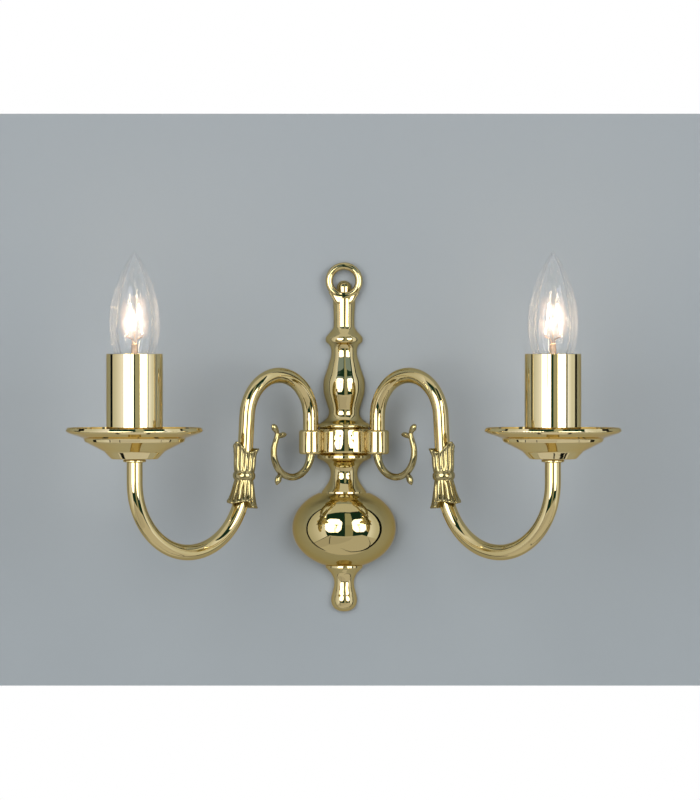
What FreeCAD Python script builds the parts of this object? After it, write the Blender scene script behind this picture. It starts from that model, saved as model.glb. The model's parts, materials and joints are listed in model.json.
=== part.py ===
import FreeCAD, Part
import math
import os
from FreeCAD import Vector

# Two-arm wall light of cast and spun brass, in millimetres.
# The wall is the plane y = 0, the light stands out towards -Y, +X is to the right and +Z up.
# The origin lies on the wall at the centre of the fixing bracket, which is also the ball's height.
# The central castings are half round: each is turned about the Z axis and cut off by the wall.

# Arms: each lies in an upright plane through the Z axis
ARM_ANGLE = 43.0
TUBE_DIAMETER = 11.0
TUBE_WALL = 1.0
ARCH_RADIUS = 30.6
BEND_RADIUS = 50.1
LEG_LEAN = 3.8
ARCH_HEIGHT = 81.0
BEND_HEIGHT = 38.0
ARM_TOP = 51.9

# Hub with its two arm bosses
HUB_RADIUS = 18.2
HUB_BOTTOM = 54.8
HUB_TOP = 73.2
HUB_WALL = 3.0
HUB_EDGE = 1.2
BOSS_REACH = 32.8
BOSS_DIAMETER = 17.0
BOSS_BOTTOM = 54.6
BOSS_TOP = 72.1
BOSS_FLOOR = 3.0
BOSS_SEAT_DEPTH = 9.0
BOSS_EDGE = 1.8
WEB_WIDTH = 12.0
WEB_ROOT = 18.0
WEB_TIP = 15.0
WEB_INSET = 0.5

# Turned castings
CAST_WALL = 2.4
NECK_WALL = 1.8
SPIGOT_WALL = 1.5
SPIGOT_HEIGHT = 3.0
VASE_HEIGHT = 103.5
VASE_DIAMETER = 29.8
RIM_HEIGHT = 138.0
RIM_RADIUS = 13.6
NECK_TOP = 168.2
NECK_DIAMETER = 15.6
STUB_DIAMETER = 10.5
STUB_TOP = 180.3
RING_CENTRE = 179.9
RING_DIAMETER = 27.3
RING_SECTION = 5.4
RING_STANDOFF = 5.0
WAIST_DIAMETER = 19.4
WAIST_HEIGHT = 40.5
BALL_DIAMETER = 75.4
BALL_HALF_HEIGHT = 29.3
BALL_MIDDLE = 0.5
BALL_WALL = 1.6
BALL_TOP_HOLE = 10.5
BALL_FOOT_HOLE = 9.0
BALL_TOP = 25.9
BALL_BOTTOM = -26.4
FINIAL_BOTTOM = -60.1
FINIAL_FLANGE = 27.0

# Back strap, wall bracket and what they carry
STRAP_WIDTH = 7.0
STRAP_HEAD_WIDTH = 16.0
STRAP_THICKNESS = 1.5
STRAP_TOP = 109.0
STRAP_BOTTOM = -36.0
LUG_WIDTH = 8.0
LUG_HEIGHT = 10.0
SCREW_DIAMETER = 4.0
SCREW_LENGTH = 5.5
BRACKET_LENGTH = 62.0
BRACKET_HEIGHT = 14.0
BRACKET_THICKNESS = 2.0
FIXING_SPACING = 50.8
FIXING_SLOT_WIDTH = 4.5
FIXING_SLOT_LENGTH = 9.0
HOOK_WIDTH = 7.0
HOOK_HEIGHT = 8.0
HOOK_THICKNESS = 1.6
BLOCK_WIDTH = 27.0
BLOCK_HEIGHT = 15.0
BLOCK_DEPTH = 12.0
BLOCK_DROP = 14.5
BLOCK_POLES = 3

# Drip pan, heights above its flat underside
PAN_DIAMETER = 95.2
PAN_WALL = 1.0
PAN_DEPTH = 21.6
PAN_STEP_RADIUS = 35.4
PAN_FOOT_RADIUS = 16.1

# Candle cover and lampholder
COVER_DIAMETER = 39.0
COVER_WALL = 1.0
COVER_TOP = 126.8
NIPPLE_DIAMETER = 9.0
NIPPLE_BORE = 6.0
NIPPLE_GRIP = 9.0
COLLAR_DIAMETER = 16.0
COLLAR_HEIGHT = 2.3
STIRRUP_THICKNESS = 1.5
STIRRUP_WIDTH = 8.0
NUT_WIDTH = 13.0
NUT_HEIGHT = 3.0
HOLDER_DIAMETER = 24.0
HOLDER_HEIGHT = 62.0
SOCKET_LENGTH = 33.0
SOCKET_FLOOR = 3.5
SHELL_WALL = 0.4

# Lamp with its small screw cap
LAMP_DIAMETER = 35.0
LAMP_LENGTH = 103.0
CAP_DIAMETER = 13.9
CAP_LENGTH = 22.5
GLASS_WALL = 0.7
LEAD_DIAMETER = 0.8
FILAMENT_DIAMETER = 0.7

# Leaf sleeve on the arm's leg
SLEEVE_HEIGHT = 40.5
SLEEVE_FLUTES = 14
FLUTE_DEPTH = 0.8
SLEEVE_UP = 23.8
SLEEVE_DOWN = 22.4
SLEEVE_NOTCH_UP = 15.6
SLEEVE_NOTCH_DOWN = 17.2
SLEEVE_WAIST_RADIUS = 7.0
SLEEVE_MOUTH_RADIUS = 9.2
SLEEVE_SKIRT_RADIUS = 12.6
SLEEVE_WALL = 1.2
BAND_RADIUS = 8.1
BAND_HEIGHT = 5.8

# Leaf scroll under each boss
SCROLL_RADIUS = 17.9
SCROLL_START_RADIUS = 3.3
SCROLL_END_RADIUS = 1.5

# Inner flex
FLEX_DIAMETER = 2.8
FLEX_TURN = 3.5

# Clearances
FIT_GAP = 0.05
THREAD_GAP = 0.1
SEAT_GAP = 0.3
WAY_GAP = 0.45

# Worked out from the sizes above
TUBE_RADIUS = TUBE_DIAMETER / 2
STRAP_FRONT = -(BRACKET_THICKNESS + SEAT_GAP + STRAP_THICKNESS)
STRAP_BACK = STRAP_FRONT + STRAP_THICKNESS
LEAN = math.radians(LEG_LEAN)
LEG_TOP_REACH = BOSS_REACH + ARCH_RADIUS * (1 + math.cos(LEAN))
LEG_TOP_Z = ARCH_HEIGHT + ARCH_RADIUS * math.sin(LEAN)
LEG_FOOT_Z = BEND_HEIGHT - BEND_RADIUS * math.sin(LEAN)
LEG_FOOT_REACH = LEG_TOP_REACH + (LEG_TOP_Z - LEG_FOOT_Z) * math.tan(LEAN)
BEND_REACH = LEG_FOOT_REACH + BEND_RADIUS * math.cos(LEAN)
CANDLE_REACH = BEND_REACH + BEND_RADIUS
PAN_BASE = ARM_TOP + COLLAR_HEIGHT
STIRRUP_BASE = PAN_BASE + PAN_WALL
SOCKET_TOP = STIRRUP_BASE + HOLDER_HEIGHT
SOCKET_BASE = SOCKET_TOP - SOCKET_LENGTH
CAP_TOP = SOCKET_TOP + SEAT_GAP
LAMP_FOOT = CAP_TOP - CAP_LENGTH
LAMP_TIP = LAMP_FOOT + LAMP_LENGTH
FLEX_LEVEL = BOSS_TOP - BOSS_SEAT_DEPTH - FLEX_TURN
Z_AXIS = Vector(0, 0, 1)


def flat(r, z):
    """A point of an outline, drawn in the XZ plane."""
    return Vector(r, 0, z)


def line(a, b):
    """A straight edge between two outline points."""
    return Part.LineSegment(flat(*a), flat(*b)).toShape()


def curve(points):
    """One smooth edge through outline points."""
    spline = Part.BSplineCurve()
    spline.interpolate([flat(*p) for p in points])
    return spline.toShape()


def rounded(corners, closed=True):
    """Edges through (r, z, radius) corners, each turned by a tangent arc of its own radius."""
    count = len(corners)
    edges = []
    ends = []
    for i, (r, z, radius) in enumerate(corners):
        here = flat(r, z)
        if radius == 0 or (not closed and i in (0, count - 1)):
            ends.append((here, None, here))
            continue
        before = flat(*corners[i - 1][:2])
        after = flat(*corners[(i + 1) % count][:2])
        inward = (before - here).normalize()
        outward = (after - here).normalize()
        half = inward.getAngle(outward) / 2
        trim = radius / math.tan(half)
        middle = (inward + outward).normalize() * (radius / math.sin(half) - radius)
        ends.append((here + inward * trim, here + middle, here + outward * trim))
    for i in range(count if closed else count - 1):
        a = ends[i][2]
        b = ends[(i + 1) % count][0]
        if a.distanceToPoint(b) > 1e-6:
            edges.append(Part.LineSegment(a, b).toShape())
        start, middle, end = ends[(i + 1) % count]
        if middle is not None:
            edges.append(Part.Arc(start, middle, end).toShape())
    return edges


def face(edges):
    """A flat face inside one closed run of edges."""
    return Part.Face(Part.Wire(Part.__sortEdges__(edges)))


def half_turn(outline):
    """The solid of an outline turned half way round, in front of the wall."""
    return outline.revolve(Vector(0, 0, 0), Z_AXIS, -180)


def full_turn(outline, reach=0.0):
    """The solid of an outline turned once about the upright axis at this reach."""
    return outline.revolve(Vector(reach, 0, 0), Z_AXIS, 360)


def box(x, y, z):
    """A block between two limits on each axis."""
    return Part.makeBox(x[1] - x[0], y[1] - y[0], z[1] - z[0], Vector(x[0], y[0], z[0]))


def rod(radius, start, end):
    """A round bar from one point to another."""
    axis = end - start
    return Part.makeCylinder(radius, axis.Length, start, axis)


def rise(base, radius, height, reach=0.0):
    """An upright round bar on the arm's plane."""
    return rod(radius, Vector(reach, 0, base), Vector(reach, 0, base + height))


def lug(front, z):
    """The block inside a casting that a screw from behind goes into."""
    return box((-LUG_WIDTH / 2, LUG_WIDTH / 2), (front, STRAP_FRONT), (z - LUG_HEIGHT / 2, z + LUG_HEIGHT / 2))


def screw_hole(z):
    """The hole of a casting screw."""
    return rod(SCREW_DIAMETER / 2 + FIT_GAP, Vector(0, 1, z), Vector(0, STRAP_BACK - SCREW_LENGTH - FIT_GAP, z))


UPPER_LUG_Z = VASE_HEIGHT - 1.0
HUB_LUG_Z = HUB_TOP - 1.4 - LUG_HEIGHT / 2
FINIAL_SCREW_Z = STRAP_BOTTOM + 4.5
SCREW_HEIGHTS = [UPPER_LUG_Z, HUB_LUG_Z, FINIAL_SCREW_Z]


def upper_baluster():
    """Top casting: flared foot, vase, double-cone rim, neck, round stub and hanging ring."""
    neck = NECK_DIAMETER / 2
    stub = STUB_DIAMETER / 2
    vase = VASE_DIAMETER / 2
    foot = HUB_RADIUS + 1.0
    waist = (11.2, 85.4)
    throat = (9.2, 128.6)
    body = [throat, (9.45, 126.2), (11.55, 118.0), (14.0, 109.2), (vase, VASE_HEIGHT), (14.1, 96.4), (12.1, 89.2),
            waist]
    cavetto = [waist, (11.5, 82.2), (14.3, 78.7), (18.2, 76.3), (foot, HUB_TOP + 2.0)]
    outline = [line((0, HUB_TOP), (foot - 1.8, HUB_TOP)), line((foot - 1.8, HUB_TOP), (foot, HUB_TOP + 1.2)),
               line((foot, HUB_TOP + 1.2), cavetto[-1]), curve(cavetto), curve(body)]
    collar = rounded([(throat[0], throat[1], 0), (throat[0] + 0.4, 131.4, 1.5), (RIM_RADIUS - 0.4, 135.0, 1.2),
                      (RIM_RADIUS + 0.35, RIM_HEIGHT, 1.4), (neck - 0.6, 147.6, 3.0), (neck, NECK_TOP, 1.6),
                      (stub, NECK_TOP + 1.2, 0), (stub, STUB_TOP - stub, 0)], closed=False)
    dome = Part.Arc(flat(stub, STUB_TOP - stub), flat(stub * math.sqrt(0.5), STUB_TOP - stub * (1 - math.sqrt(0.5))),
                    flat(0, STUB_TOP)).toShape()
    outline += collar + [dome, line((0, STUB_TOP), (0, HUB_TOP))]
    casting = half_turn(face(outline))
    ring = Part.makeTorus((RING_DIAMETER - RING_SECTION) / 2, RING_SECTION / 2,
                          Vector(0, -RING_STANDOFF, RING_CENTRE), Vector(0, 1, 0))
    casting = casting.fuse(ring)
    hollow = [(r - CAST_WALL, z) for r, z in body[1:]]
    top = (0, body[1][1])
    cavity = [curve(hollow), line(hollow[0], top), line(top, (0, HUB_TOP)),
              line((0, HUB_TOP), (hollow[-1][0], HUB_TOP)),
              line((hollow[-1][0], HUB_TOP), hollow[-1])]
    casting = casting.cut(half_turn(face(cavity)))
    block = lug(-vase + CAST_WALL - 0.8, UPPER_LUG_Z)
    return casting.fuse(block).cut(screw_hole(UPPER_LUG_Z)).removeSplitter()


def arm_web():
    """The waisted web between the drum and one boss."""
    near = HUB_RADIUS - HUB_WALL / 2
    far = BOSS_REACH - 3.0
    middle = (near + far) / 2
    sides = []
    for way in (1, -1):
        arc = Part.Arc(Vector(near, way * WEB_ROOT / 2, 0), Vector(middle, way * WEB_WIDTH / 2, 0),
                       Vector(far, way * WEB_TIP / 2, 0))
        sides.append(arc.toShape())
    ends = [Part.makeLine(Vector(near, WEB_ROOT / 2, 0), Vector(near, -WEB_ROOT / 2, 0)),
            Part.makeLine(Vector(far, WEB_TIP / 2, 0), Vector(far, -WEB_TIP / 2, 0))]
    web = face(sides + ends).extrude(Vector(0, 0, BOSS_TOP - BOSS_BOTTOM - 2 * WEB_INSET))
    long_edges = [e for e in web.Edges if isinstance(e.Curve, Part.Circle)]
    web = web.makeFillet(HUB_EDGE, long_edges)
    web.translate(Vector(0, 0, BOSS_BOTTOM + WEB_INSET))
    return web


def arm_hub():
    """Middle casting: a half drum with a boss on a web for each arm."""
    inner = HUB_RADIUS - HUB_WALL
    drum = half_turn(face(rounded([(inner, HUB_BOTTOM, 0), (HUB_RADIUS, HUB_BOTTOM, HUB_EDGE),
                                   (HUB_RADIUS, HUB_TOP, HUB_EDGE), (inner, HUB_TOP, 0)])))
    hub = drum
    cuts = []
    for side in (1, -1):
        boss = full_turn(face(rounded([(BOSS_REACH, BOSS_BOTTOM, 0),
                                       (BOSS_REACH + BOSS_DIAMETER / 2, BOSS_BOTTOM, BOSS_EDGE),
                                       (BOSS_REACH + BOSS_DIAMETER / 2, BOSS_TOP, BOSS_EDGE),
                                       (BOSS_REACH, BOSS_TOP, 0)])), BOSS_REACH)
        web = arm_web()
        seat = rise(BOSS_BOTTOM + BOSS_FLOOR, TUBE_RADIUS + FIT_GAP, BOSS_TOP, BOSS_REACH)
        spigot = rise(BOSS_BOTTOM - 1, SCROLL_START_RADIUS - 1.3 + FIT_GAP, BOSS_FLOOR + 2, BOSS_REACH)
        wire_way = rod(FLEX_DIAMETER / 2 + WAY_GAP, Vector(inner - 2, 0, FLEX_LEVEL),
                       Vector(BOSS_REACH, 0, FLEX_LEVEL))
        hub = hub.fuse([on_side(boss, side), on_side(web, side)])
        cuts += [on_side(seat, side), on_side(spigot, side), on_side(wire_way, side)]
    block = lug(-inner - 0.8, HUB_LUG_Z)
    return hub.cut(cuts).fuse(block).cut(screw_hole(HUB_LUG_Z)).removeSplitter()


def half_sleeve(outer, z, height):
    """A thin half ring that locates one casting in the next."""
    inner = outer - SPIGOT_WALL
    return half_turn(face(rounded([(inner, z, 0), (outer, z, 0), (outer, z + height, 0), (inner, z + height, 0)])))


def lower_neck():
    """Waisted casting between the hub and the ball, with a spigot into each."""
    waist = WAIST_DIAMETER / 2
    lip = HUB_RADIUS + 1.4
    bell = [(17.1, 49.8), (11.5, 45.7), (waist, WAIST_HEIGHT), (11.1, 34.4), (13.5, 30.6), (16.1, BALL_TOP + 1.1)]
    top_bore = HUB_RADIUS - HUB_WALL - SPIGOT_WALL
    way = [(min(r - NECK_WALL, top_bore), z) for r, z in bell]
    outline = rounded([(way[-1][0], BALL_TOP, 0), (16.2, BALL_TOP, 0), (bell[-1][0], bell[-1][1], 0)], closed=False)
    outline.append(curve(bell))
    outline += rounded([(bell[0][0], bell[0][1], 0), (lip, 51.2, 0.9), (lip, 53.6, 0.9), (17.4, HUB_BOTTOM, 0),
                        (way[0][0], HUB_BOTTOM, 0), (way[0][0], way[0][1], 0)], closed=False)
    outline += [curve(way), line(way[-1], (way[-1][0], BALL_TOP))]
    casting = half_turn(face(outline))
    upper = half_sleeve(HUB_RADIUS - HUB_WALL - FIT_GAP, HUB_BOTTOM - 1, SPIGOT_HEIGHT + 1)
    lower = half_sleeve(BALL_TOP_HOLE - FIT_GAP, BALL_TOP - SPIGOT_HEIGHT, SPIGOT_HEIGHT + SPIGOT_WALL)
    ledge = half_turn(face(rounded([(BALL_TOP_HOLE - 1, BALL_TOP, 0), (15.0, BALL_TOP, 0),
                                    (15.0, BALL_TOP + SPIGOT_WALL, 0), (BALL_TOP_HOLE - 1, BALL_TOP + SPIGOT_WALL, 0)])))
    return casting.fuse([upper, lower, ledge]).removeSplitter()


def half_ball():
    """Flattened half ball: a thin shell open to the wall, with a round hole top and bottom."""
    top_inner = BALL_TOP - BALL_WALL
    bottom_inner = BALL_BOTTOM + BALL_WALL

    def half_oval(wall, low, high):
        radius = BALL_DIAMETER / 2 - wall
        height = BALL_HALF_HEIGHT - wall
        first = math.asin((low - BALL_MIDDLE) / height)
        last = math.asin((high - BALL_MIDDLE) / height)
        angles = [first + (last - first) * i / 12 for i in range(13)]
        return [(radius * math.cos(a), BALL_MIDDLE + height * math.sin(a)) for a in angles]

    outside = half_oval(0.0, BALL_BOTTOM, BALL_TOP)
    inside = half_oval(BALL_WALL, bottom_inner, top_inner)
    lands = rounded([(*outside[-1], 0), (BALL_TOP_HOLE, BALL_TOP, 0), (BALL_TOP_HOLE, top_inner, 0),
                     (*inside[-1], 0)], closed=False)
    lands += rounded([(*inside[0], 0), (BALL_FOOT_HOLE, bottom_inner, 0), (BALL_FOOT_HOLE, BALL_BOTTOM, 0),
                      (*outside[0], 0)], closed=False)
    return half_turn(face([curve(outside), curve(inside)] + lands))


def bottom_finial():
    """Solid drop under the ball, with a spigot into it and a groove behind for the strap."""
    flange = FINIAL_FLANGE / 2
    drop = [(10.7, -31.2), (8.0, -35.2), (7.15, -39.0), (7.9, -44.4), (9.35, -51.0), (8.3, -56.3), (4.6, -59.5),
            (0, FINIAL_BOTTOM)]
    outline = rounded([(0, BALL_BOTTOM, 0), (flange, BALL_BOTTOM, 0.5), (flange, BALL_BOTTOM - 1.9, 0.5),
                       (drop[0][0], drop[0][1], 0)], closed=False)
    outline += [curve(drop), line(drop[-1], (0, BALL_BOTTOM))]
    casting = half_turn(face(outline))
    spigot = half_sleeve(BALL_FOOT_HOLE - FIT_GAP, BALL_BOTTOM - 1, SPIGOT_HEIGHT + 1)
    groove = box((-STRAP_WIDTH / 2 - 0.2, STRAP_WIDTH / 2 + 0.2), (STRAP_FRONT, 1),
                 (STRAP_BOTTOM - 0.3, BALL_BOTTOM + 9))
    return casting.fuse(spigot).cut([groove, screw_hole(FINIAL_SCREW_Z)]).removeSplitter()


def back_strap():
    """Steel strip that ties the castings together and hooks on the bracket."""
    strip = box((-STRAP_WIDTH / 2, STRAP_WIDTH / 2), (STRAP_FRONT, STRAP_BACK), (STRAP_BOTTOM, STRAP_TOP))
    head = box((-STRAP_HEAD_WIDTH / 2, STRAP_HEAD_WIDTH / 2), (STRAP_FRONT, STRAP_BACK),
               (-BLOCK_DROP - BLOCK_HEIGHT / 2, HOOK_HEIGHT + 10.0))
    strip = strip.fuse(head)
    slot = box((-HOOK_WIDTH / 2 - 0.5, HOOK_WIDTH / 2 + 0.5), (STRAP_FRONT - 1, STRAP_BACK + 1),
               (-HOOK_THICKNESS - 2.5, HOOK_HEIGHT + 1.0))
    holes = [rod(SCREW_DIAMETER / 2 + FIT_GAP, Vector(0, STRAP_FRONT - 1, z), Vector(0, 1, z)) for z in SCREW_HEIGHTS]
    holes.append(earth_hole())
    return strip.cut([slot] + holes).removeSplitter()


EARTH_PLACE = Vector(0, 0, 13.5)


def earth_hole():
    """Clearance hole for the earth screw."""
    return rod(1.5 + FIT_GAP, EARTH_PLACE + Vector(0, STRAP_FRONT - 1, 0), EARTH_PLACE + Vector(0, 1, 0))


def casting_screws():
    """Pan-head screws from behind, one in each casting that has a lug."""
    screws = []
    for z in SCREW_HEIGHTS:
        shank = rod(SCREW_DIAMETER / 2, Vector(0, STRAP_BACK, z), Vector(0, STRAP_BACK - SCREW_LENGTH, z))
        head = rod(SCREW_DIAMETER * 0.85, Vector(0, STRAP_BACK, z), Vector(0, STRAP_BACK + 1.6, z))
        screws.append(shank.fuse(head))
    return Part.makeCompound(screws)


def wall_bracket():
    """Crossbar screwed to the wall, with a tongue that the strap hangs on."""
    half = BRACKET_LENGTH / 2
    bar = box((-half, half), (-BRACKET_THICKNESS, 0), (-BRACKET_HEIGHT / 2, BRACKET_HEIGHT / 2))
    ends = [e for e in bar.Edges if abs(e.tangentAt(e.FirstParameter).y) > 0.9]
    bar = bar.makeFillet(BRACKET_HEIGHT / 2 - 0.5, ends)
    front = STRAP_FRONT - SEAT_GAP
    stem = box((-HOOK_WIDTH / 2, HOOK_WIDTH / 2), (front - HOOK_THICKNESS, -BRACKET_THICKNESS / 2),
               (-HOOK_THICKNESS - 2.0, -2.0))
    tongue = box((-HOOK_WIDTH / 2, HOOK_WIDTH / 2), (front - HOOK_THICKNESS, front),
                 (-HOOK_THICKNESS - 2.0, HOOK_HEIGHT - 2.0))
    bar = bar.fuse([stem, tongue])
    straight = FIXING_SLOT_LENGTH - FIXING_SLOT_WIDTH
    radius = FIXING_SLOT_WIDTH / 2
    for side in (1, -1):
        centre = side * FIXING_SPACING / 2
        slot = box((centre - straight / 2, centre + straight / 2), (-BRACKET_THICKNESS - 1, 1), (-radius, radius))
        ends = [rod(radius, Vector(centre + k * straight / 2, 1, 0),
                    Vector(centre + k * straight / 2, -BRACKET_THICKNESS - 1, 0)) for k in (1, -1)]
        bar = bar.cut(slot.fuse(ends))
    return bar.removeSplitter()


def pole_places():
    """Middle of each pole of the terminal block along X."""
    pitch = BLOCK_WIDTH / BLOCK_POLES
    return [(i - (BLOCK_POLES - 1) / 2) * pitch for i in range(BLOCK_POLES)]


def terminal_block():
    """Moulded strip of three terminals, with a wire hole from above and below each."""
    back = STRAP_FRONT
    front = back - BLOCK_DEPTH
    z = (-BLOCK_DROP - BLOCK_HEIGHT / 2, -BLOCK_DROP + BLOCK_HEIGHT / 2)
    base = box((-BLOCK_WIDTH / 2, BLOCK_WIDTH / 2), (back - BLOCK_DEPTH * 0.45, back), z)
    holes = []
    for x in pole_places():
        barrel = rod(BLOCK_WIDTH / BLOCK_POLES * 0.44, Vector(x, back - BLOCK_DEPTH * 0.45, z[0]),
                     Vector(x, back - BLOCK_DEPTH * 0.45, z[1]))
        base = base.fuse(barrel)
        for dz in (-BLOCK_HEIGHT / 4, BLOCK_HEIGHT / 4):
            top = Vector(x, front, -BLOCK_DROP + dz)
            root = Vector(x, back - BLOCK_DEPTH * 0.4, -BLOCK_DROP + dz)
            base = base.fuse(rod(2.6, root, top))
            holes.append(rod(1.8 + FIT_GAP, Vector(x, back - BLOCK_DEPTH * 0.6, -BLOCK_DROP + dz),
                             Vector(x, front - 1, -BLOCK_DROP + dz)))
        holes.append(rod(FLEX_DIAMETER / 2 + FIT_GAP, Vector(x, back - BLOCK_DEPTH * 0.45, z[0] - 1),
                         Vector(x, back - BLOCK_DEPTH * 0.45, z[1] + 1)))
    return base.cut(holes).removeSplitter()


def terminal_screws():
    """Two clamping screws in each pole."""
    screws = []
    for x in pole_places():
        for dz in (-BLOCK_HEIGHT / 4, BLOCK_HEIGHT / 4):
            front = STRAP_FRONT - BLOCK_DEPTH
            screws.append(rod(1.8, Vector(x, STRAP_FRONT - BLOCK_DEPTH * 0.65, -BLOCK_DROP + dz),
                              Vector(x, front + 1.2, -BLOCK_DROP + dz)))
    return Part.makeCompound(screws)


def earth_screw():
    """Earth screw with its cupped washer on the strap."""
    shank = rod(1.5, EARTH_PLACE + Vector(0, STRAP_BACK + 0.6, 0), EARTH_PLACE + Vector(0, STRAP_FRONT - 3.0, 0))
    washer = rod(2.6, EARTH_PLACE + Vector(0, STRAP_FRONT, 0), EARTH_PLACE + Vector(0, STRAP_FRONT - 0.8, 0))
    head = rod(2.2, EARTH_PLACE + Vector(0, STRAP_FRONT - 0.8, 0), EARTH_PLACE + Vector(0, STRAP_FRONT - 2.6, 0))
    return shank.fuse([washer, head]).removeSplitter()


def on_side(shape, side):
    """Turn a shape drawn in the XZ plane into the right arm's plane, and mirror it for the left."""
    placed = shape.copy()
    placed.rotate(Vector(0, 0, 0), Z_AXIS, -ARM_ANGLE)
    if side < 0:
        placed = placed.mirror(Vector(0, 0, 0), Vector(1, 0, 0))
    return placed


def arm_route(start_z):
    """Centre line of the arm, from inside its boss over the arch and round the bend to its top."""
    arch = Vector(BOSS_REACH + ARCH_RADIUS, 0, ARCH_HEIGHT)
    bend = Vector(BEND_REACH, 0, BEND_HEIGHT)

    def on_circle(centre, radius, angle):
        return centre + Vector(math.cos(angle), 0, math.sin(angle)) * radius

    arch_middle = (math.pi + LEAN) / 2
    bend_middle = 1.5 * math.pi + LEAN / 2
    foot = on_circle(bend, BEND_RADIUS, math.pi + LEAN)
    crown = on_circle(arch, ARCH_RADIUS, LEAN)
    edges = [Part.LineSegment(flat(BOSS_REACH, start_z), flat(BOSS_REACH, ARCH_HEIGHT)).toShape(),
             Part.Arc(flat(BOSS_REACH, ARCH_HEIGHT), on_circle(arch, ARCH_RADIUS, arch_middle), crown).toShape(),
             Part.LineSegment(crown, foot).toShape(),
             Part.Arc(foot, on_circle(bend, BEND_RADIUS, bend_middle), flat(CANDLE_REACH, BEND_HEIGHT)).toShape()]
    return edges


def sweep(edges, radius):
    """A round bar along a run of tangent edges."""
    path = Part.Wire(edges)
    start = edges[0].valueAt(edges[0].FirstParameter)
    heading = edges[0].tangentAt(edges[0].FirstParameter)
    ring = Part.Wire(Part.makeCircle(radius, start, heading))
    return path.makePipeShell([ring], True, False)


def arm_tube():
    """Bent tube of the arm."""
    edges = arm_route(BOSS_TOP - BOSS_SEAT_DEPTH)
    edges.append(Part.LineSegment(flat(CANDLE_REACH, BEND_HEIGHT), flat(CANDLE_REACH, ARM_TOP)).toShape())
    return sweep(edges, TUBE_RADIUS).cut(sweep(edges, TUBE_RADIUS - TUBE_WALL))


def flex_end():
    """Where the two flexes lie side by side in the waist, as (x, y)."""
    return FLEX_DIAMETER / 2 + 0.45, STRAP_FRONT - FLEX_DIAMETER / 2 - 0.3


def arm_wiring(side):
    """Flex from the lampholder down through the arm and hub to the terminal block."""
    angle = math.radians(ARM_ANGLE)

    def place(reach, z):
        return Vector(side * reach * math.cos(angle), -reach * math.sin(angle), z)

    route = arm_route(FLEX_LEVEL + FLEX_TURN)
    route.append(Part.LineSegment(flat(CANDLE_REACH, BEND_HEIGHT), flat(CANDLE_REACH, SOCKET_BASE)).toShape())
    upper = [on_side(edge, side) for edge in route]
    x, y = flex_end()
    pole = pole_places()[0 if side < 0 else -1]
    block_top = -BLOCK_DROP + BLOCK_HEIGHT / 2
    block_y = STRAP_FRONT - BLOCK_DEPTH * 0.45
    corners = [place(BOSS_REACH, FLEX_LEVEL + FLEX_TURN), place(BOSS_REACH, FLEX_LEVEL), place(11.5, FLEX_LEVEL),
               Vector(side * x, y, WAIST_HEIGHT + 4.0), Vector(side * x, y, BALL_TOP - 1.0),
               Vector(side * pole, block_y, block_top + 14.0), Vector(side * pole, block_y, block_top - 3.0)]
    corners = [Vector(side * abs(p.x), p.y, p.z) for p in corners]
    radii = [0, FLEX_TURN, 4.5, 8.0, 12.0, 8.0, 0]
    lower = bent_line(corners, radii)
    return sweep(list(reversed([reverse_edge(e) for e in upper])) + lower, FLEX_DIAMETER / 2)


def reverse_edge(edge):
    """The same edge run the other way."""
    start = edge.valueAt(edge.LastParameter)
    end = edge.valueAt(edge.FirstParameter)
    if isinstance(edge.Curve, Part.Line):
        return Part.LineSegment(start, end).toShape()
    middle = edge.valueAt((edge.FirstParameter + edge.LastParameter) / 2)
    return Part.Arc(start, middle, end).toShape()


def bent_line(corners, radii):
    """Straight runs between corners, joined by tangent arcs."""
    edges = []
    last = corners[0]
    for i in range(1, len(corners)):
        here = corners[i]
        if radii[i] == 0:
            edges.append(Part.LineSegment(last, here).toShape())
            last = here
            continue
        inward = (corners[i - 1] - here).normalize()
        outward = (corners[i + 1] - here).normalize()
        half = inward.getAngle(outward) / 2
        trim = radii[i] / math.tan(half)
        start = here + inward * trim
        end = here + outward * trim
        middle = here + (inward + outward).normalize() * (radii[i] / math.sin(half) - radii[i])
        if last.distanceToPoint(start) > 1e-6:
            edges.append(Part.LineSegment(last, start).toShape())
        edges.append(Part.Arc(start, middle, end).toShape())
        last = end
    return edges


def leg_point(along, out=0.0):
    """A point on the leg's centre line, this far above the sleeve's band."""
    reach = LEG_TOP_REACH + (LEG_TOP_Z - SLEEVE_HEIGHT) * math.tan(LEAN)
    return Vector(reach - along * math.sin(LEAN) + out, 0, SLEEVE_HEIGHT + along * math.cos(LEAN))


def fluted_ring(radius, depth, along):
    """A closed outline round the leg, of arcs that bulge between shallow grooves."""
    points = []
    for i in range(2 * SLEEVE_FLUTES):
        angle = math.pi * i / SLEEVE_FLUTES
        r = radius if i % 2 else radius - depth
        points.append(Vector(r * math.cos(angle), r * math.sin(angle), 0))
    edges = []
    for i in range(SLEEVE_FLUTES):
        groove, crest, following = (points[(2 * i + k) % len(points)] for k in (0, 1, 2))
        edges.append(Part.Arc(groove, crest, following).toShape())
    wire = Part.Wire(edges)
    wire.rotate(Vector(0, 0, 0), Vector(0, 1, 0), -LEG_LEAN)
    wire.translate(leg_point(along))
    return wire


def sleeve_cup(stations):
    """One fluted cup, lofted through rings at (distance from the band, radius, groove depth)."""
    return Part.makeLoft([fluted_ring(radius, depth, along) for along, radius, depth in stations], True)


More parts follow.
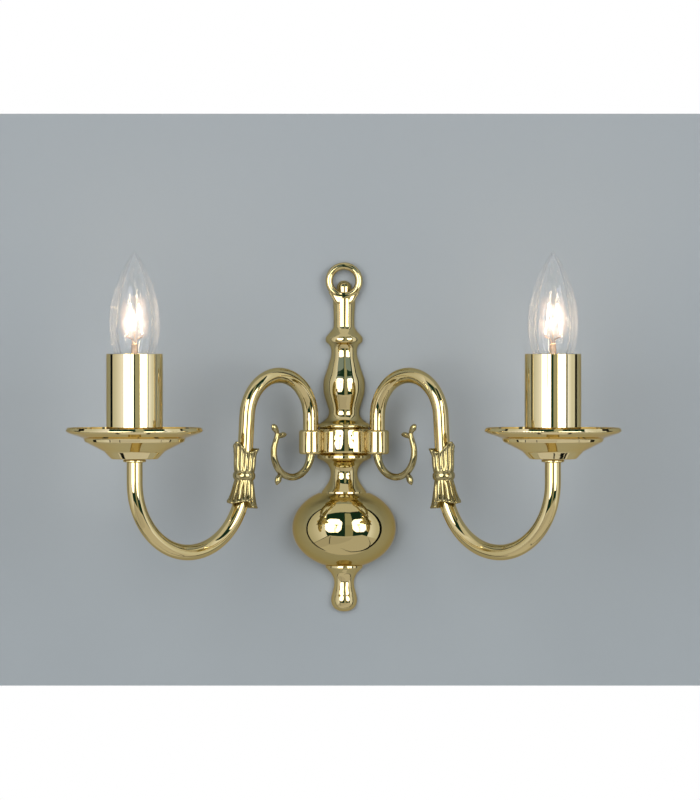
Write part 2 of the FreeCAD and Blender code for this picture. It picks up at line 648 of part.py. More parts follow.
def leaf_sleeve():
    """Two fluted leaf cups back to back on the leg, with a beaded band between them."""
    up = sleeve_cup([(0.5, SLEEVE_WAIST_RADIUS, FLUTE_DEPTH * 0.4),
                     (SLEEVE_UP * 0.4, SLEEVE_WAIST_RADIUS + 0.5, FLUTE_DEPTH),
                     (SLEEVE_UP * 0.7, SLEEVE_WAIST_RADIUS + 1.0, FLUTE_DEPTH),
                     (SLEEVE_UP, SLEEVE_MOUTH_RADIUS, FLUTE_DEPTH)])
    down = sleeve_cup([(-0.5, SLEEVE_WAIST_RADIUS + 0.1, FLUTE_DEPTH * 0.4),
                       (-SLEEVE_DOWN * 0.4, SLEEVE_WAIST_RADIUS + 1.4, FLUTE_DEPTH),
                       (-SLEEVE_DOWN * 0.7, SLEEVE_WAIST_RADIUS + 3.1, FLUTE_DEPTH),
                       (-SLEEVE_DOWN, SLEEVE_SKIRT_RADIUS, FLUTE_DEPTH)])
    half = BAND_HEIGHT / 2
    bore = TUBE_RADIUS + FIT_GAP
    band = full_turn(face(rounded([(bore, -half, 0), (BAND_RADIUS - 0.7, -half, 0.6), (BAND_RADIUS, 0, half),
                                   (BAND_RADIUS - 0.7, half, 0.6), (bore, half, 0)])))
    groove = SLEEVE_WALL + FLUTE_DEPTH
    hollow = face([line((0, SLEEVE_UP + 1), (SLEEVE_MOUTH_RADIUS - groove, SLEEVE_UP + 1)),
                   line((SLEEVE_MOUTH_RADIUS - groove, SLEEVE_UP + 1), (bore, SLEEVE_UP * 0.6)),
                   line((bore, SLEEVE_UP * 0.6), (bore, -half)),
                   curve([(bore, -half), (SLEEVE_WAIST_RADIUS + 1.4 - groove, -SLEEVE_DOWN * 0.4),
                          (SLEEVE_WAIST_RADIUS + 3.1 - groove, -SLEEVE_DOWN * 0.7),
                          (SLEEVE_SKIRT_RADIUS - groove, -SLEEVE_DOWN - 1)]),
                   line((SLEEVE_SKIRT_RADIUS - groove, -SLEEVE_DOWN - 1), (0, -SLEEVE_DOWN - 1)),
                   line((0, -SLEEVE_DOWN - 1), (0, SLEEVE_UP + 1))])
    bits = [band, full_turn(hollow)]
    for bit in bits:
        bit.rotate(Vector(0, 0, 0), Vector(0, 1, 0), -LEG_LEAN)
        bit.translate(leg_point(0))
    sleeve = up.fuse([down, bits[0]]).cut(bits[1])
    return sleeve.cut([mouth_cut(SLEEVE_NOTCH_UP + 11.0, 11.0, -1.6),
                       mouth_cut(-SLEEVE_NOTCH_DOWN - 20.0, 20.0, 3.0)])


def mouth_cut(along, radius, shift):
    """Round bar across the leg that leaves a leaf tip on each side of the mouth."""
    centre = leg_point(along, shift)
    return rod(radius, centre + Vector(0, -20, 0), centre + Vector(0, 20, 0))


def scroll_route():
    """Centre line of the scroll as (reach, z, heading, radius) stations, from the boss round to the tip."""
    centre_reach = BOSS_REACH + SCROLL_RADIUS
    centre_z = BOSS_BOTTOM + 2.5
    turned = math.radians(200.0)
    stations = []
    for i in range(9):
        share = i / 8
        angle = math.pi + turned * share
        radius = SCROLL_START_RADIUS + (SCROLL_END_RADIUS + 0.5 - SCROLL_START_RADIUS) * share ** 1.5
        stations.append((centre_reach + SCROLL_RADIUS * math.cos(angle), centre_z + SCROLL_RADIUS * math.sin(angle),
                         angle + math.pi / 2, radius))
    reach, z, heading, radius = stations[-1]
    back_radius = 12.0
    turn_reach = reach + back_radius * math.cos(heading - math.pi / 2)
    turn_z = z + back_radius * math.sin(heading - math.pi / 2)
    for i in (1, 2):
        angle = heading + math.pi / 2 - math.radians(17.5) * i
        stations.append((turn_reach + back_radius * math.cos(angle), turn_z + back_radius * math.sin(angle),
                         angle - math.pi / 2, radius - 0.25 * i))
    return stations


def leaf(root, tip, width, thickness):
    """A small pointed leaf from one point of the arm's plane to another, a little hollow on its face."""
    along = tip - root
    sections = []
    for share, fullness in ((0.0, 0.55), (0.35, 1.0), (0.75, 0.8), (1.0, 0.25)):
        centre = root + along * share
        oval = Part.Ellipse(Vector(0, 0, 0), width / 2 * fullness, thickness / 2 * fullness)
        wire = Part.Wire(oval.toShape())
        wire.Placement = FreeCAD.Placement(centre, FreeCAD.Rotation(Vector(0, 1, 0), Vector(0, 0, 1), along, "ZXY"))
        sections.append(wire)
    return Part.makeLoft(sections, True)


def leaf_scroll():
    """Tapering C-scroll with three leaf tips, hung on a spigot in the boss."""
    stations = scroll_route()
    rings = []
    for reach, z, heading, radius in stations:
        rings.append(Part.Wire(Part.makeCircle(radius, flat(reach, z), flat(math.cos(heading), math.sin(heading)))))
    stem = Part.makeLoft(rings, True)
    top = rise(BOSS_BOTTOM - 1.6, SCROLL_START_RADIUS, 1.6, BOSS_REACH)
    spigot = rise(BOSS_BOTTOM - 1, SCROLL_START_RADIUS - 1.3, BOSS_FLOOR + 0.6, BOSS_REACH)
    end = stations[-1]
    tip_root = flat(end[0] - math.cos(end[2]), end[1] - math.sin(end[2]))
    side_root = flat(stations[-2][0], stations[-2][1])
    spur_root = flat(stations[5][0], stations[5][1])
    leaves = [leaf(tip_root, tip_root + flat(3.2, 5.6), 5.0, 3.4),
              leaf(side_root, side_root + flat(-8.6, 3.6), 4.6, 3.0),
              leaf(spur_root, spur_root + flat(4.9, -8.6), 5.0, 3.4)]
    block = rise(BOSS_BOTTOM, BOSS_DIAMETER, 30, BOSS_REACH - 6)
    stem = stem.cut(block)
    return stem.fuse([top, spigot] + leaves).removeSplitter()


def arm_end_collar():
    """Flanged ring between the arm's top and the pan."""
    bore = NIPPLE_DIAMETER / 2 + FIT_GAP
    rim = COLLAR_DIAMETER / 2
    edges = rounded([(CANDLE_REACH + bore, ARM_TOP, 0), (CANDLE_REACH + rim - 1.3, ARM_TOP, 0.3),
                     (CANDLE_REACH + rim, ARM_TOP + 0.5, 0.3), (CANDLE_REACH + rim, PAN_BASE - 0.8, 0.5),
                     (CANDLE_REACH + rim - 1.5, PAN_BASE, 0), (CANDLE_REACH + bore, PAN_BASE, 0)])
    return full_turn(face(edges), CANDLE_REACH)


def arm_nipple():
    """Threaded tube held in the arm's end, which clamps the pan and the stirrup."""
    base = ARM_TOP - NIPPLE_GRIP
    top = STIRRUP_BASE + STIRRUP_THICKNESS + NUT_HEIGHT + 1.0
    tube = rise(base, NIPPLE_DIAMETER / 2 - FIT_GAP, top - base, CANDLE_REACH)
    return tube.cut(rise(base - 1, NIPPLE_BORE / 2, top - base + 2, CANDLE_REACH))


def nipple_nut():
    """Thin hexagon nut on the nipple."""
    base = STIRRUP_BASE + STIRRUP_THICKNESS
    corners = [Vector(CANDLE_REACH + NUT_WIDTH / math.sqrt(3) * math.cos(math.radians(60 * i)),
                      NUT_WIDTH / math.sqrt(3) * math.sin(math.radians(60 * i)), base) for i in range(7)]
    nut = Part.Face(Part.makePolygon(corners)).extrude(Vector(0, 0, NUT_HEIGHT))
    return nut.cut(rise(base - 1, NIPPLE_DIAMETER / 2 + FIT_GAP, NUT_HEIGHT + 2, CANDLE_REACH))


def pan_outline():
    """Underside of the pan from its foot to its rim, as (radius, height, corner radius)."""
    rim = PAN_DIAMETER / 2
    return [(PAN_FOOT_RADIUS, 0.0, 1.5), (21.0, 5.2, 4.0), (PAN_STEP_RADIUS - 1.0, 12.0, 0.6),
            (PAN_STEP_RADIUS, 14.5, 1.6), (rim - 2.0, PAN_DEPTH - 3.7, 1.2), (rim, PAN_DEPTH - 2.2, 0.8),
            (rim - 1.1, PAN_DEPTH, 0)]


def pan_inside():
    """The same line one wall thickness further in."""
    points = pan_outline()
    shifted = []
    for i, (r, z, radius) in enumerate(points):
        before = points[i - 1] if i else (0.0, 0.0, 0)
        normals = []
        for a, b in ((before, points[i]), (points[i], points[min(i + 1, len(points) - 1)])):
            run = Vector(b[0] - a[0], b[1] - a[1], 0)
            if run.Length > 0:
                run.normalize()
                normals.append(Vector(-run.y, run.x, 0))
        mitre = (normals[0] + normals[-1]).normalize()
        offset = mitre * (PAN_WALL / mitre.dot(normals[0]))
        turn = normals[0].cross(normals[-1]).z
        radius_in = max(radius - math.copysign(PAN_WALL, turn), 0.3) if radius else 0
        shifted.append((r + offset.x, z + offset.y, radius_in))
    return shifted


def pan_seat_height(radius):
    """Height of the pan's inner cone at a radius near its foot."""
    low, high = pan_inside()[:2]
    return PAN_BASE + low[1] + (radius - low[0]) * (high[1] - low[1]) / (high[0] - low[0])


def drip_pan():
    """Spun pan: flat foot, cone, stepped bead, sloping shoulder and turned-up rim."""
    bore = NIPPLE_DIAMETER / 2 + FIT_GAP
    under = pan_outline()
    inside = list(reversed(pan_inside()))
    rim_top = (inside[0][0], under[-1][1], 0.3)
    corners = [(bore, 0.0, 0)] + under[:-1] + [(under[-1][0], under[-1][1], 0.3), rim_top] + inside[1:]
    corners.append((bore, PAN_WALL, 0))
    corners = [(CANDLE_REACH + r, PAN_BASE + z, radius) for r, z, radius in corners]
    return full_turn(face(rounded(corners)), CANDLE_REACH)


def holder_stirrup():
    """Steel strap bent to a U that carries the lampholder on the nipple."""
    inner = HOLDER_DIAMETER / 2 + 0.1
    outer = inner + STIRRUP_THICKNESS
    top = SOCKET_BASE + 12.0
    edges = rounded([(-outer, STIRRUP_BASE, 2.5), (outer, STIRRUP_BASE, 2.5), (outer, top, 0), (inner, top, 0),
                     (inner, STIRRUP_BASE + STIRRUP_THICKNESS, 1.0), (-inner, STIRRUP_BASE + STIRRUP_THICKNESS, 1.0),
                     (-inner, top, 0), (-outer, top, 0)])
    strap = face(edges).extrude(Vector(0, STIRRUP_WIDTH, 0))
    strap.translate(Vector(CANDLE_REACH, -STIRRUP_WIDTH / 2, 0))
    disc = rise(STIRRUP_BASE, NUT_WIDTH / 2 + 1.5, STIRRUP_THICKNESS, CANDLE_REACH)
    hole = rise(STIRRUP_BASE - 1, NIPPLE_DIAMETER / 2 + FIT_GAP, STIRRUP_THICKNESS + 2, CANDLE_REACH)
    return strap.fuse(disc).cut(hole).removeSplitter()


def holder_body():
    """Moulded lampholder: a cup for the screw shell over a chamber for the wires."""
    outer = HOLDER_DIAMETER / 2
    shell = CAP_DIAMETER / 2 + THREAD_GAP + SHELL_WALL + FIT_GAP
    floor = LAMP_FOOT - 3.0
    chamber = floor - SOCKET_FLOOR
    axis = CANDLE_REACH
    edges = rounded([(axis + outer - 2.5, SOCKET_BASE, 0), (axis + outer, SOCKET_BASE, 0.8),
                     (axis + outer, SOCKET_TOP, 1.2), (axis + 9.2, SOCKET_TOP, 0.4), (axis + 9.2, SOCKET_TOP - 3.0, 0),
                     (axis + shell, SOCKET_TOP - 3.0, 0), (axis + shell, floor, 0), (axis, floor, 0),
                     (axis, chamber, 0), (axis + outer - 2.5, chamber, 0)])
    body = full_turn(face(edges), axis)
    flats = [box((axis + side * outer - 1, axis + side * outer + 1), (-STIRRUP_WIDTH / 2, STIRRUP_WIDTH / 2),
                 (SOCKET_BASE - 1, SOCKET_BASE + 12.0)) for side in (1, -1)]
    pads = [pad.common(rise(SOCKET_BASE, outer + 0.1, 12.0, axis)) for pad in flats]
    way = rise(SOCKET_BASE, FLEX_DIAMETER / 2 + WAY_GAP, floor - SOCKET_BASE - 1.0, axis)
    return body.fuse(pads).cut(way).removeSplitter()


def holder_shell():
    """Screw shell of the lampholder, its thread left plain."""
    inner = CAP_DIAMETER / 2 + THREAD_GAP
    base = LAMP_FOOT + 2.6
    height = SOCKET_TOP - 3.2 - base
    return rise(base, inner + SHELL_WALL, height, CANDLE_REACH).cut(rise(base - 1, inner, height + 2, CANDLE_REACH))


def holder_contact():
    """Springy centre contact on the floor of the lampholder."""
    floor = LAMP_FOOT - 3.0
    top = LAMP_FOOT - SEAT_GAP
    gauge = 0.5
    edges = rounded([(-5.5, floor, 0), (-2.4, floor, 1.0), (0.2, top - gauge, 1.0), (3.2, top - gauge, 0),
                     (3.2, top, 0), (0.0, top, 1.0), (-2.6, floor + gauge, 1.0), (-5.5, floor + gauge, 0)])
    strip = face(edges).extrude(Vector(0, 4.0, 0))
    strip.translate(Vector(CANDLE_REACH, -2.0, 0))
    return strip


def candle_cover():
    """Thin brass tube that stands in the pan's cone and hides the lampholder."""
    outer = COVER_DIAMETER / 2
    inner = outer - COVER_WALL
    base = pan_seat_height(outer) + SEAT_GAP
    edges = rounded([(CANDLE_REACH + inner, base, 0.2), (CANDLE_REACH + outer, base, 0.2),
                     (CANDLE_REACH + outer, COVER_TOP, 0.4), (CANDLE_REACH + inner, COVER_TOP, 0.4)])
    return full_turn(face(edges), CANDLE_REACH)


def glass_stations():
    """Outline of the candle-shaped bulb as (radius, z), from its neck to the root of the tip."""
    full = LAMP_DIAMETER / 2
    return [(7.5, CAP_TOP - 2.0), (7.8, CAP_TOP + 0.6), (11.3, CAP_TOP + 3.9), (14.2, CAP_TOP + 9.1),
            (16.6, CAP_TOP + 18.6), (full, CAP_TOP + 30.8), (16.5, CAP_TOP + 42.0), (14.0, CAP_TOP + 52.2),
            (10.7, CAP_TOP + 62.5), (6.6, CAP_TOP + 72.2), (2.2, LAMP_TIP - 3.0)]


def bulb_glass():
    """Clear blown bulb with a small drawn tip."""
    axis = CANDLE_REACH
    outer = [(axis + r, z) for r, z in glass_stations()]
    inner = [(axis + r - GLASS_WALL, z) for r, z in glass_stations()[:-1]]
    inner.append((axis, LAMP_TIP - 4.4))
    tip = [outer[-1], (axis + 1.0, LAMP_TIP - 1.2), (axis, LAMP_TIP)]
    edges = [curve(outer), curve(tip), line(tip[-1], inner[-1]), curve(list(reversed(inner))),
             line(inner[0], outer[0])]
    return full_turn(face(edges), axis)


def bulb_cap():
    """Metal screw cap: a skirt round the neck and a shell, its thread left plain."""
    axis = CANDLE_REACH
    shell = CAP_DIAMETER / 2
    edges = rounded([(axis + shell - 0.5, LAMP_FOOT + 4.0, 0), (axis + shell, LAMP_FOOT + 4.0, 0),
                     (axis + shell, CAP_TOP - 2.6, 0.4), (axis + 8.5, CAP_TOP - 2.2, 0.4), (axis + 8.5, CAP_TOP, 0.2),
                     (axis + 7.9, CAP_TOP, 0.2), (axis + 7.9, CAP_TOP - 2.1, 0), (axis + shell - 0.5, CAP_TOP - 2.1, 0)])
    return full_turn(face(edges), axis)


def bulb_insulator():
    """Black glass foot of the cap with the solder contact under it."""
    axis = CANDLE_REACH
    shell = CAP_DIAMETER / 2 - 0.5
    foot = full_turn(face([line((axis, LAMP_FOOT + 1.2), (axis + 2.6, LAMP_FOOT + 1.2)),
                           line((axis + 2.6, LAMP_FOOT + 1.2), (axis + shell, LAMP_FOOT + 4.0)),
                           line((axis + shell, LAMP_FOOT + 4.0), (axis + shell, LAMP_FOOT + 5.0)),
                           line((axis + shell, LAMP_FOOT + 5.0), (axis, LAMP_FOOT + 5.0)),
                           line((axis, LAMP_FOOT + 5.0), (axis, LAMP_FOOT + 1.2))]), axis)
    contact = rise(LAMP_FOOT, 2.4, 1.3, axis)
    return foot.fuse(contact.makeFillet(0.5, [contact.Edges[2]])).removeSplitter()


STEM_TOP = CAP_TOP + 17.0


def bulb_stem():
    """Glass stem inside the neck: flare, tube and flattened pinch."""
    axis = CANDLE_REACH
    edges = rounded([(axis, CAP_TOP - 1.0, 0), (axis + 6.4, CAP_TOP - 1.0, 0.5), (axis + 2.6, CAP_TOP + 3.0, 2.5),
                     (axis + 2.1, STEM_TOP - 1.0, 0.8), (axis, STEM_TOP, 0)])
    return full_turn(face(edges), axis).cut(bulb_leads())


def wire_along(points, radius):
    """A thin wire through points of the arm's plane, with round joints."""
    parts = []
    for a, b in zip(points, points[1:]):
        parts.append(rod(radius, a, b))
    for p in points[1:-1]:
        parts.append(Part.makeSphere(radius, p))
    return parts[0].fuse(parts[1:])


FILAMENT_LOW = STEM_TOP + 6.0
FILAMENT_HIGH = STEM_TOP + 26.5
FILAMENT_HALF = 6.8


def bulb_leads():
    """Two lead wires and the centre support that stand in the stem."""
    axis = CANDLE_REACH
    root = STEM_TOP - 1.5
    radius = LEAD_DIAMETER / 2
    wires = []
    for s in (1, -1):
        end = axis + s * FILAMENT_HALF
        wires.append(wire_along([flat(axis + s * 1.3, root), flat(axis + s * 2.0, STEM_TOP + 2.5),
                                 flat(end, FILAMENT_LOW - 2.0), flat(end, FILAMENT_LOW)], radius))
    wires.append(rod(radius * 0.8, flat(axis, STEM_TOP - 0.8), flat(axis, FILAMENT_LOW + 2.7)))
    return Part.makeCompound(wires)


def bulb_filament():
    """Filament hung as an M between the leads."""
    axis = CANDLE_REACH
    bottom = FILAMENT_LOW + 0.08
    middle = FILAMENT_LOW + 3.1
    shape = [flat(axis - FILAMENT_HALF, bottom), flat(axis - FILAMENT_HALF * 0.55, FILAMENT_HIGH),
             flat(axis, middle), flat(axis + FILAMENT_HALF * 0.55, FILAMENT_HIGH), flat(axis + FILAMENT_HALF, bottom)]
    return wire_along(shape, FILAMENT_DIAMETER / 2)


CENTRE_NODES = {
    "upper_baluster": upper_baluster,
    "arm_hub": arm_hub,
    "lower_neck": lower_neck,
    "half_ball": half_ball,
    "bottom_finial": bottom_finial,
    "back_strap": back_strap,
    "casting_screws": casting_screws,
    "wall_bracket": wall_bracket,
    "terminal_block": terminal_block,
    "terminal_screws": terminal_screws,
    "earth_screw": earth_screw,
}

ARM_NODES = {
    "arm_tube": arm_tube,
    "leaf_sleeve": leaf_sleeve,
    "leaf_scroll": leaf_scroll,
    "arm_end_collar": arm_end_collar,
    "arm_nipple": arm_nipple,
    "nipple_nut": nipple_nut,
    "drip_pan": drip_pan,
    "holder_stirrup": holder_stirrup,
    "holder_body": holder_body,
    "holder_shell": holder_shell,
    "holder_contact": holder_contact,
    "candle_cover": candle_cover,
    "bulb_glass": bulb_glass,
    "bulb_cap": bulb_cap,
    "bulb_insulator": bulb_insulator,
    "bulb_stem": bulb_stem,
    "bulb_leads": bulb_leads,
    "bulb_filament": bulb_filament,
}


def main():
    """Build every piece and write one file for each."""
    os.makedirs("parts", exist_ok=True)
    pieces = {name: make() for name, make in CENTRE_NODES.items()}
    for name, make in ARM_NODES.items():
        shape = make()
        pieces["right_" + name] = on_side(shape, 1)
        pieces["left_" + name] = on_side(shape, -1)
    pieces["right_arm_wiring"] = arm_wiring(1)
    pieces["left_arm_wiring"] = arm_wiring(-1)
    for name, shape in pieces.items():
        shape.exportStep("parts/" + name + ".step")
        print(name, "solids", len(shape.Solids), "valid", shape.isValid(), "volume", round(shape.Volume, 1))


main()
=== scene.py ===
import bmesh
import bpy
import json
import math
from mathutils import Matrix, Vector


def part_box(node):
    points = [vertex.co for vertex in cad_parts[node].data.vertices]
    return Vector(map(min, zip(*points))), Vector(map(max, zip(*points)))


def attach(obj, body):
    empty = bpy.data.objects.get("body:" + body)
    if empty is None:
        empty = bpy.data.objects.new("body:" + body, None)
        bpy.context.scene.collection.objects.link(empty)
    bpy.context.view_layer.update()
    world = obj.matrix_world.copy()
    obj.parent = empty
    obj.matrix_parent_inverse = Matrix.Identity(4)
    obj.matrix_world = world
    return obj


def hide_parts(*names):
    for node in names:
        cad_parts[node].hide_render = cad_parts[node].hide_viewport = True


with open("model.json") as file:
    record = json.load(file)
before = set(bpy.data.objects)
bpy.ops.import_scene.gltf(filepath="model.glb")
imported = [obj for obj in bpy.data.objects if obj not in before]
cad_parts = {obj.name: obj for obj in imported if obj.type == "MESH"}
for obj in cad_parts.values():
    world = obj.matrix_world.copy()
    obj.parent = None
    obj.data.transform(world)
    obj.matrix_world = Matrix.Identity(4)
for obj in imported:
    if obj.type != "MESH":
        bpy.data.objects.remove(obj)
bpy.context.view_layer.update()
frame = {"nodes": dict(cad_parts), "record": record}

nodes = frame["nodes"]
SIDES = {"right": 1, "left": -1}
MM = 0.001
WHITE = (1.0, 1.0, 1.0, 1.0)

# Camera: square to the wall, at about the height of the candle covers' tops, tilted a little down
EYE = Vector((0.0043, -2.6, 0.1225))
LENS = 160.9
TILT = math.radians(0.64)

# Places taken from the CAD boxes
HOLDER_LOW, HOLDER_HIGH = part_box("right_holder_shell")
CANDLE = (HOLDER_LOW + HOLDER_HIGH) / 2
GLASS_LOW, GLASS_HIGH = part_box("right_bulb_glass")

# Where the filament's glow, painted on the bulb glass as its own light, begins and ends
GLOW_LOW = GLASS_LOW.z + 0.0215
GLOW_HIGH = GLASS_LOW.z + 0.052


class Tone:
    """A number that varies over a surface: Python arithmetic on it adds Math nodes."""

    def __init__(self, paint, socket):
        self.paint = paint
        self.socket = socket

    def __add__(self, other):
        return self.paint.maths("ADD", self, other)

    def __sub__(self, other):
        return self.paint.maths("SUBTRACT", self, other)

    def __rsub__(self, other):
        return self.paint.maths("SUBTRACT", other, self)

    def __mul__(self, other):
        return self.paint.maths("MULTIPLY", self, other)

    def __truediv__(self, other):
        return self.paint.maths("DIVIDE", self, other)

    def __pow__(self, other):
        return self.paint.maths("POWER", self, other)

    def __gt__(self, other):
        return self.paint.maths("GREATER_THAN", self, other)

    def __lt__(self, other):
        return self.paint.maths("LESS_THAN", self, other)

    __radd__ = __add__
    __rmul__ = __mul__


class Paint:
    """One node tree being painted, of a material or of the world."""

    def __init__(self, owner):
        self.owner = owner
        owner.use_nodes = True
        self.tree = owner.node_tree
        self.tree.nodes.clear()

    def node(self, kind, settings=None, inputs=None):
        """Adds a node, sets its own settings first and then its sockets' values or links."""
        made = self.tree.nodes.new(kind)
        for key, value in (settings or {}).items():
            setattr(made, key, value)
        for key, value in (inputs or {}).items():
            socket = made.inputs[key]
            if isinstance(value, Tone):
                self.tree.links.new(value.socket, socket)
            elif isinstance(value, bpy.types.NodeSocket):
                self.tree.links.new(value, socket)
            else:
                socket.default_value = value
        return made

    def maths(self, operation, *values):
        """A Math node on numbers or Tones."""
        made = self.node("ShaderNodeMath", {"operation": operation}, dict(enumerate(values)))
        return Tone(self, made.outputs[0])

    def ridge(self, off):
        """1 where off is 0, falling smoothly to nothing by about 2 on either side."""
        return self.maths("EXPONENT", off * off * -1.0)

    def remap(self, value, low, high, to_low=0.0, to_high=1.0):
        """The value's range low to high stretched on to another, and held there."""
        ends = {"From Min": low, "From Max": high, "To Min": to_low, "To Max": to_high}
        made = self.node("ShaderNodeMapRange", {"clamp": True}, {"Value": value, **ends})
        return Tone(self, made.outputs[0])

    def noise(self, place, scale, detail):
        """Cloudy noise from 0 to 1 at this many waves per metre."""
        made = self.node("ShaderNodeTexNoise", None, {"Vector": place, "Scale": scale, "Detail": detail})
        return Tone(self, made.outputs["Fac"])

    def blend(self, share, first, second):
        """A colour between two others."""
        made = self.node("ShaderNodeMix", {"data_type": "RGBA"}, {0: share, 6: first, 7: second})
        return made.outputs[2]

    def place(self, stretch=(1.0, 1.0, 1.0)):
        """Position in the object's own frame, stretched along its axes."""
        seat = self.node("ShaderNodeTexCoord").outputs["Object"]
        return self.node("ShaderNodeMapping", None, {"Vector": seat, "Scale": stretch}).outputs[0]

    def split(self, vector):
        """The three numbers of a vector."""
        made = self.node("ShaderNodeSeparateXYZ", None, {0: vector})
        return [Tone(self, made.outputs[k]) for k in range(3)]

    def facing(self, **sockets):
        """0 where the surface faces the eye and 1 where it turns away."""
        made = self.node("ShaderNodeLayerWeight", None, {"Blend": 0.5, **sockets})
        return Tone(self, made.outputs["Facing"])

    def behind(self):
        """1 on the surface's back."""
        return Tone(self, self.node("ShaderNodeNewGeometry").outputs["Backfacing"])

    def ray(self, fact):
        """What the Light Path node tells of a ray, such as Is Camera Ray."""
        return Tone(self, self.node("ShaderNodeLightPath").outputs[fact])

    def bump(self, height, strength, distance):
        """A surface normal tilted by the slope of a height, which counts in units of the distance."""
        made = self.node("ShaderNodeBump", None,
                         {"Height": height, "Strength": strength, "Distance": distance})
        return made.outputs[0]

    def surface(self, **sockets):
        """The Principled shader, with sockets named in capitals and underscores for spaces."""
        names = {key.replace("_", " "): value for key, value in sockets.items()}
        return self.node("ShaderNodeBsdfPrincipled", None, names).outputs[0]

    def light(self, colour, strength=1.0):
        """Plain light of this colour."""
        return self.node("ShaderNodeEmission", None, {"Color": colour, "Strength": strength}).outputs[0]

    def clear(self, tint=WHITE):
        """Lets what lies behind show through, in this tint."""
        return self.node("ShaderNodeBsdfTransparent", None, {"Color": tint}).outputs[0]

    def layer(self, share, under, over):
        """One shader with a share of another over it."""
        return self.node("ShaderNodeMixShader", None, {0: share, 1: under, 2: over}).outputs[0]

    def finish(self, shader):
        """Ends the material with this shader."""
        self.node("ShaderNodeOutputMaterial", None, {"Surface": shader})
        return self.owner


def material(name):
    """A new, empty material to paint."""
    return Paint(bpy.data.materials.new(name))


BRASS_EDGE = (0.86, 0.72, 0.48, 1.0)


def polished_brass(name, colour, deep, ripple, ripple_scale, dents=()):
    """Mirror-polished, lacquered brass, wavy from buffing, with dents of (height, depth, width)."""
    paint = material(name)
    seat = paint.place()
    cloud = paint.noise(seat, 38.0, 4.0)
    wipe = paint.noise(paint.place((1.0, 1.0, 0.2)), 420.0, 2.0)
    shade = paint.blend(paint.remap(cloud, 0.35, 0.75, 0.0, 0.25), colour, deep)
    rough = paint.remap(wipe, 0.35, 0.7, 0.03, 0.055)
    height = paint.noise(seat, ripple_scale, 2.0) * ripple
    for place, depth, width in dents:
        height = height - paint.ridge((paint.split(seat)[2] - place) / width) * depth
    normal = paint.bump(height, 1.0, 0.001)
    return paint.finish(paint.surface(Base_Color=shade, Metallic=1.0, Roughness=rough, Normal=normal,
                                      Specular_Tint=BRASS_EDGE))


def chased_brass(name, colour, groove_shade):
    """Hand-finished cast brass with painted shade: browner down in its grooves, which ambient occlusion
    finds, and duller there.
    """
    paint = material(name)
    # Painted shade: ambient occlusion darkens the grooves towards the dark brown shade colour
    crease_shade_ao = paint.node("ShaderNodeAmbientOcclusion", {"samples": 8, "only_local": True},
                         {"Distance": 0.0035})
    openness = paint.remap(Tone(paint, crease_shade_ao.outputs["AO"]), 0.45, 0.97)
    shade = paint.blend(openness, groove_shade, colour)
    rough = paint.remap(openness, 0.0, 1.0, 0.28, 0.10)
    normal = paint.bump(paint.noise(paint.place(), 260.0, 3.0) * 0.12, 1.0, 0.001)
    return paint.finish(paint.surface(Base_Color=shade, Metallic=1.0, Roughness=rough, Normal=normal,
                                      Specular_Tint=BRASS_EDGE, Coat_Weight=0.28, Coat_Roughness=0.06))


def plain_metal(name, colour, dull, rough, scratch):
    """Unlacquered metal with drawing marks and dull patches."""
    paint = material(name)
    patch = paint.noise(paint.place(), 160.0, 4.0)
    lines = paint.noise(paint.place((1.0, 1.0, 0.08)), 2400.0, 2.0)
    shade = paint.blend(paint.remap(patch, 0.35, 0.7), colour, dull)
    spread = paint.remap(patch, 0.3, 0.8, rough, rough + 0.18)
    normal = paint.bump(lines, scratch, 0.0001)
    return paint.finish(paint.surface(Base_Color=shade, Metallic=1.0, Roughness=spread, Normal=normal))


def moulded(name, colour, worn, rough, grain_scale):
    """Moulded plastic with a fine grain and a little dust."""
    paint = material(name)
    seat = paint.place()
    dust_and_sheen = paint.noise(seat, 210.0, 4.0)
    grain = paint.noise(seat, grain_scale, 2.0)
    shade = paint.blend(paint.remap(dust_and_sheen, 0.5, 0.8, 0.0, 0.7), colour, worn)
    spread = paint.remap(dust_and_sheen, 0.3, 0.8, rough, rough + 0.15)
    normal = paint.bump(grain, 0.25, 0.0001)
    return paint.finish(paint.surface(Base_Color=shade, Roughness=spread, Normal=normal))


GLASS_SHINE = (0.95, 0.96, 0.97, 1.0)
GLASS_HAZE = (0.93, 0.94, 0.95, 1.0)
GLASS_CLEAR = (0.99, 0.992, 0.992, 1.0)
# Painted shade of the dark lines along the glass's outline
GLASS_LINE_SHADE = (0.20, 0.22, 0.23, 1.0)
# Colours of the filament's glow painted on the glass as its own light
GLOW_WARM = (1.0, 0.70, 0.50, 1.0)
GLOW_WHITE = (1.0, 0.96, 0.91, 1.0)

# Painted shade, two fine dark lines along the glass's outline: where each lies, from 0 facing the eye to 1
# turned away, how fine it is, how far the waviness moves it, and how dark it is
GLASS_SHADE_LINES = ((0.325, 34.0, 0.05, 0.13), (0.475, 40.0, 0.04, 0.09))


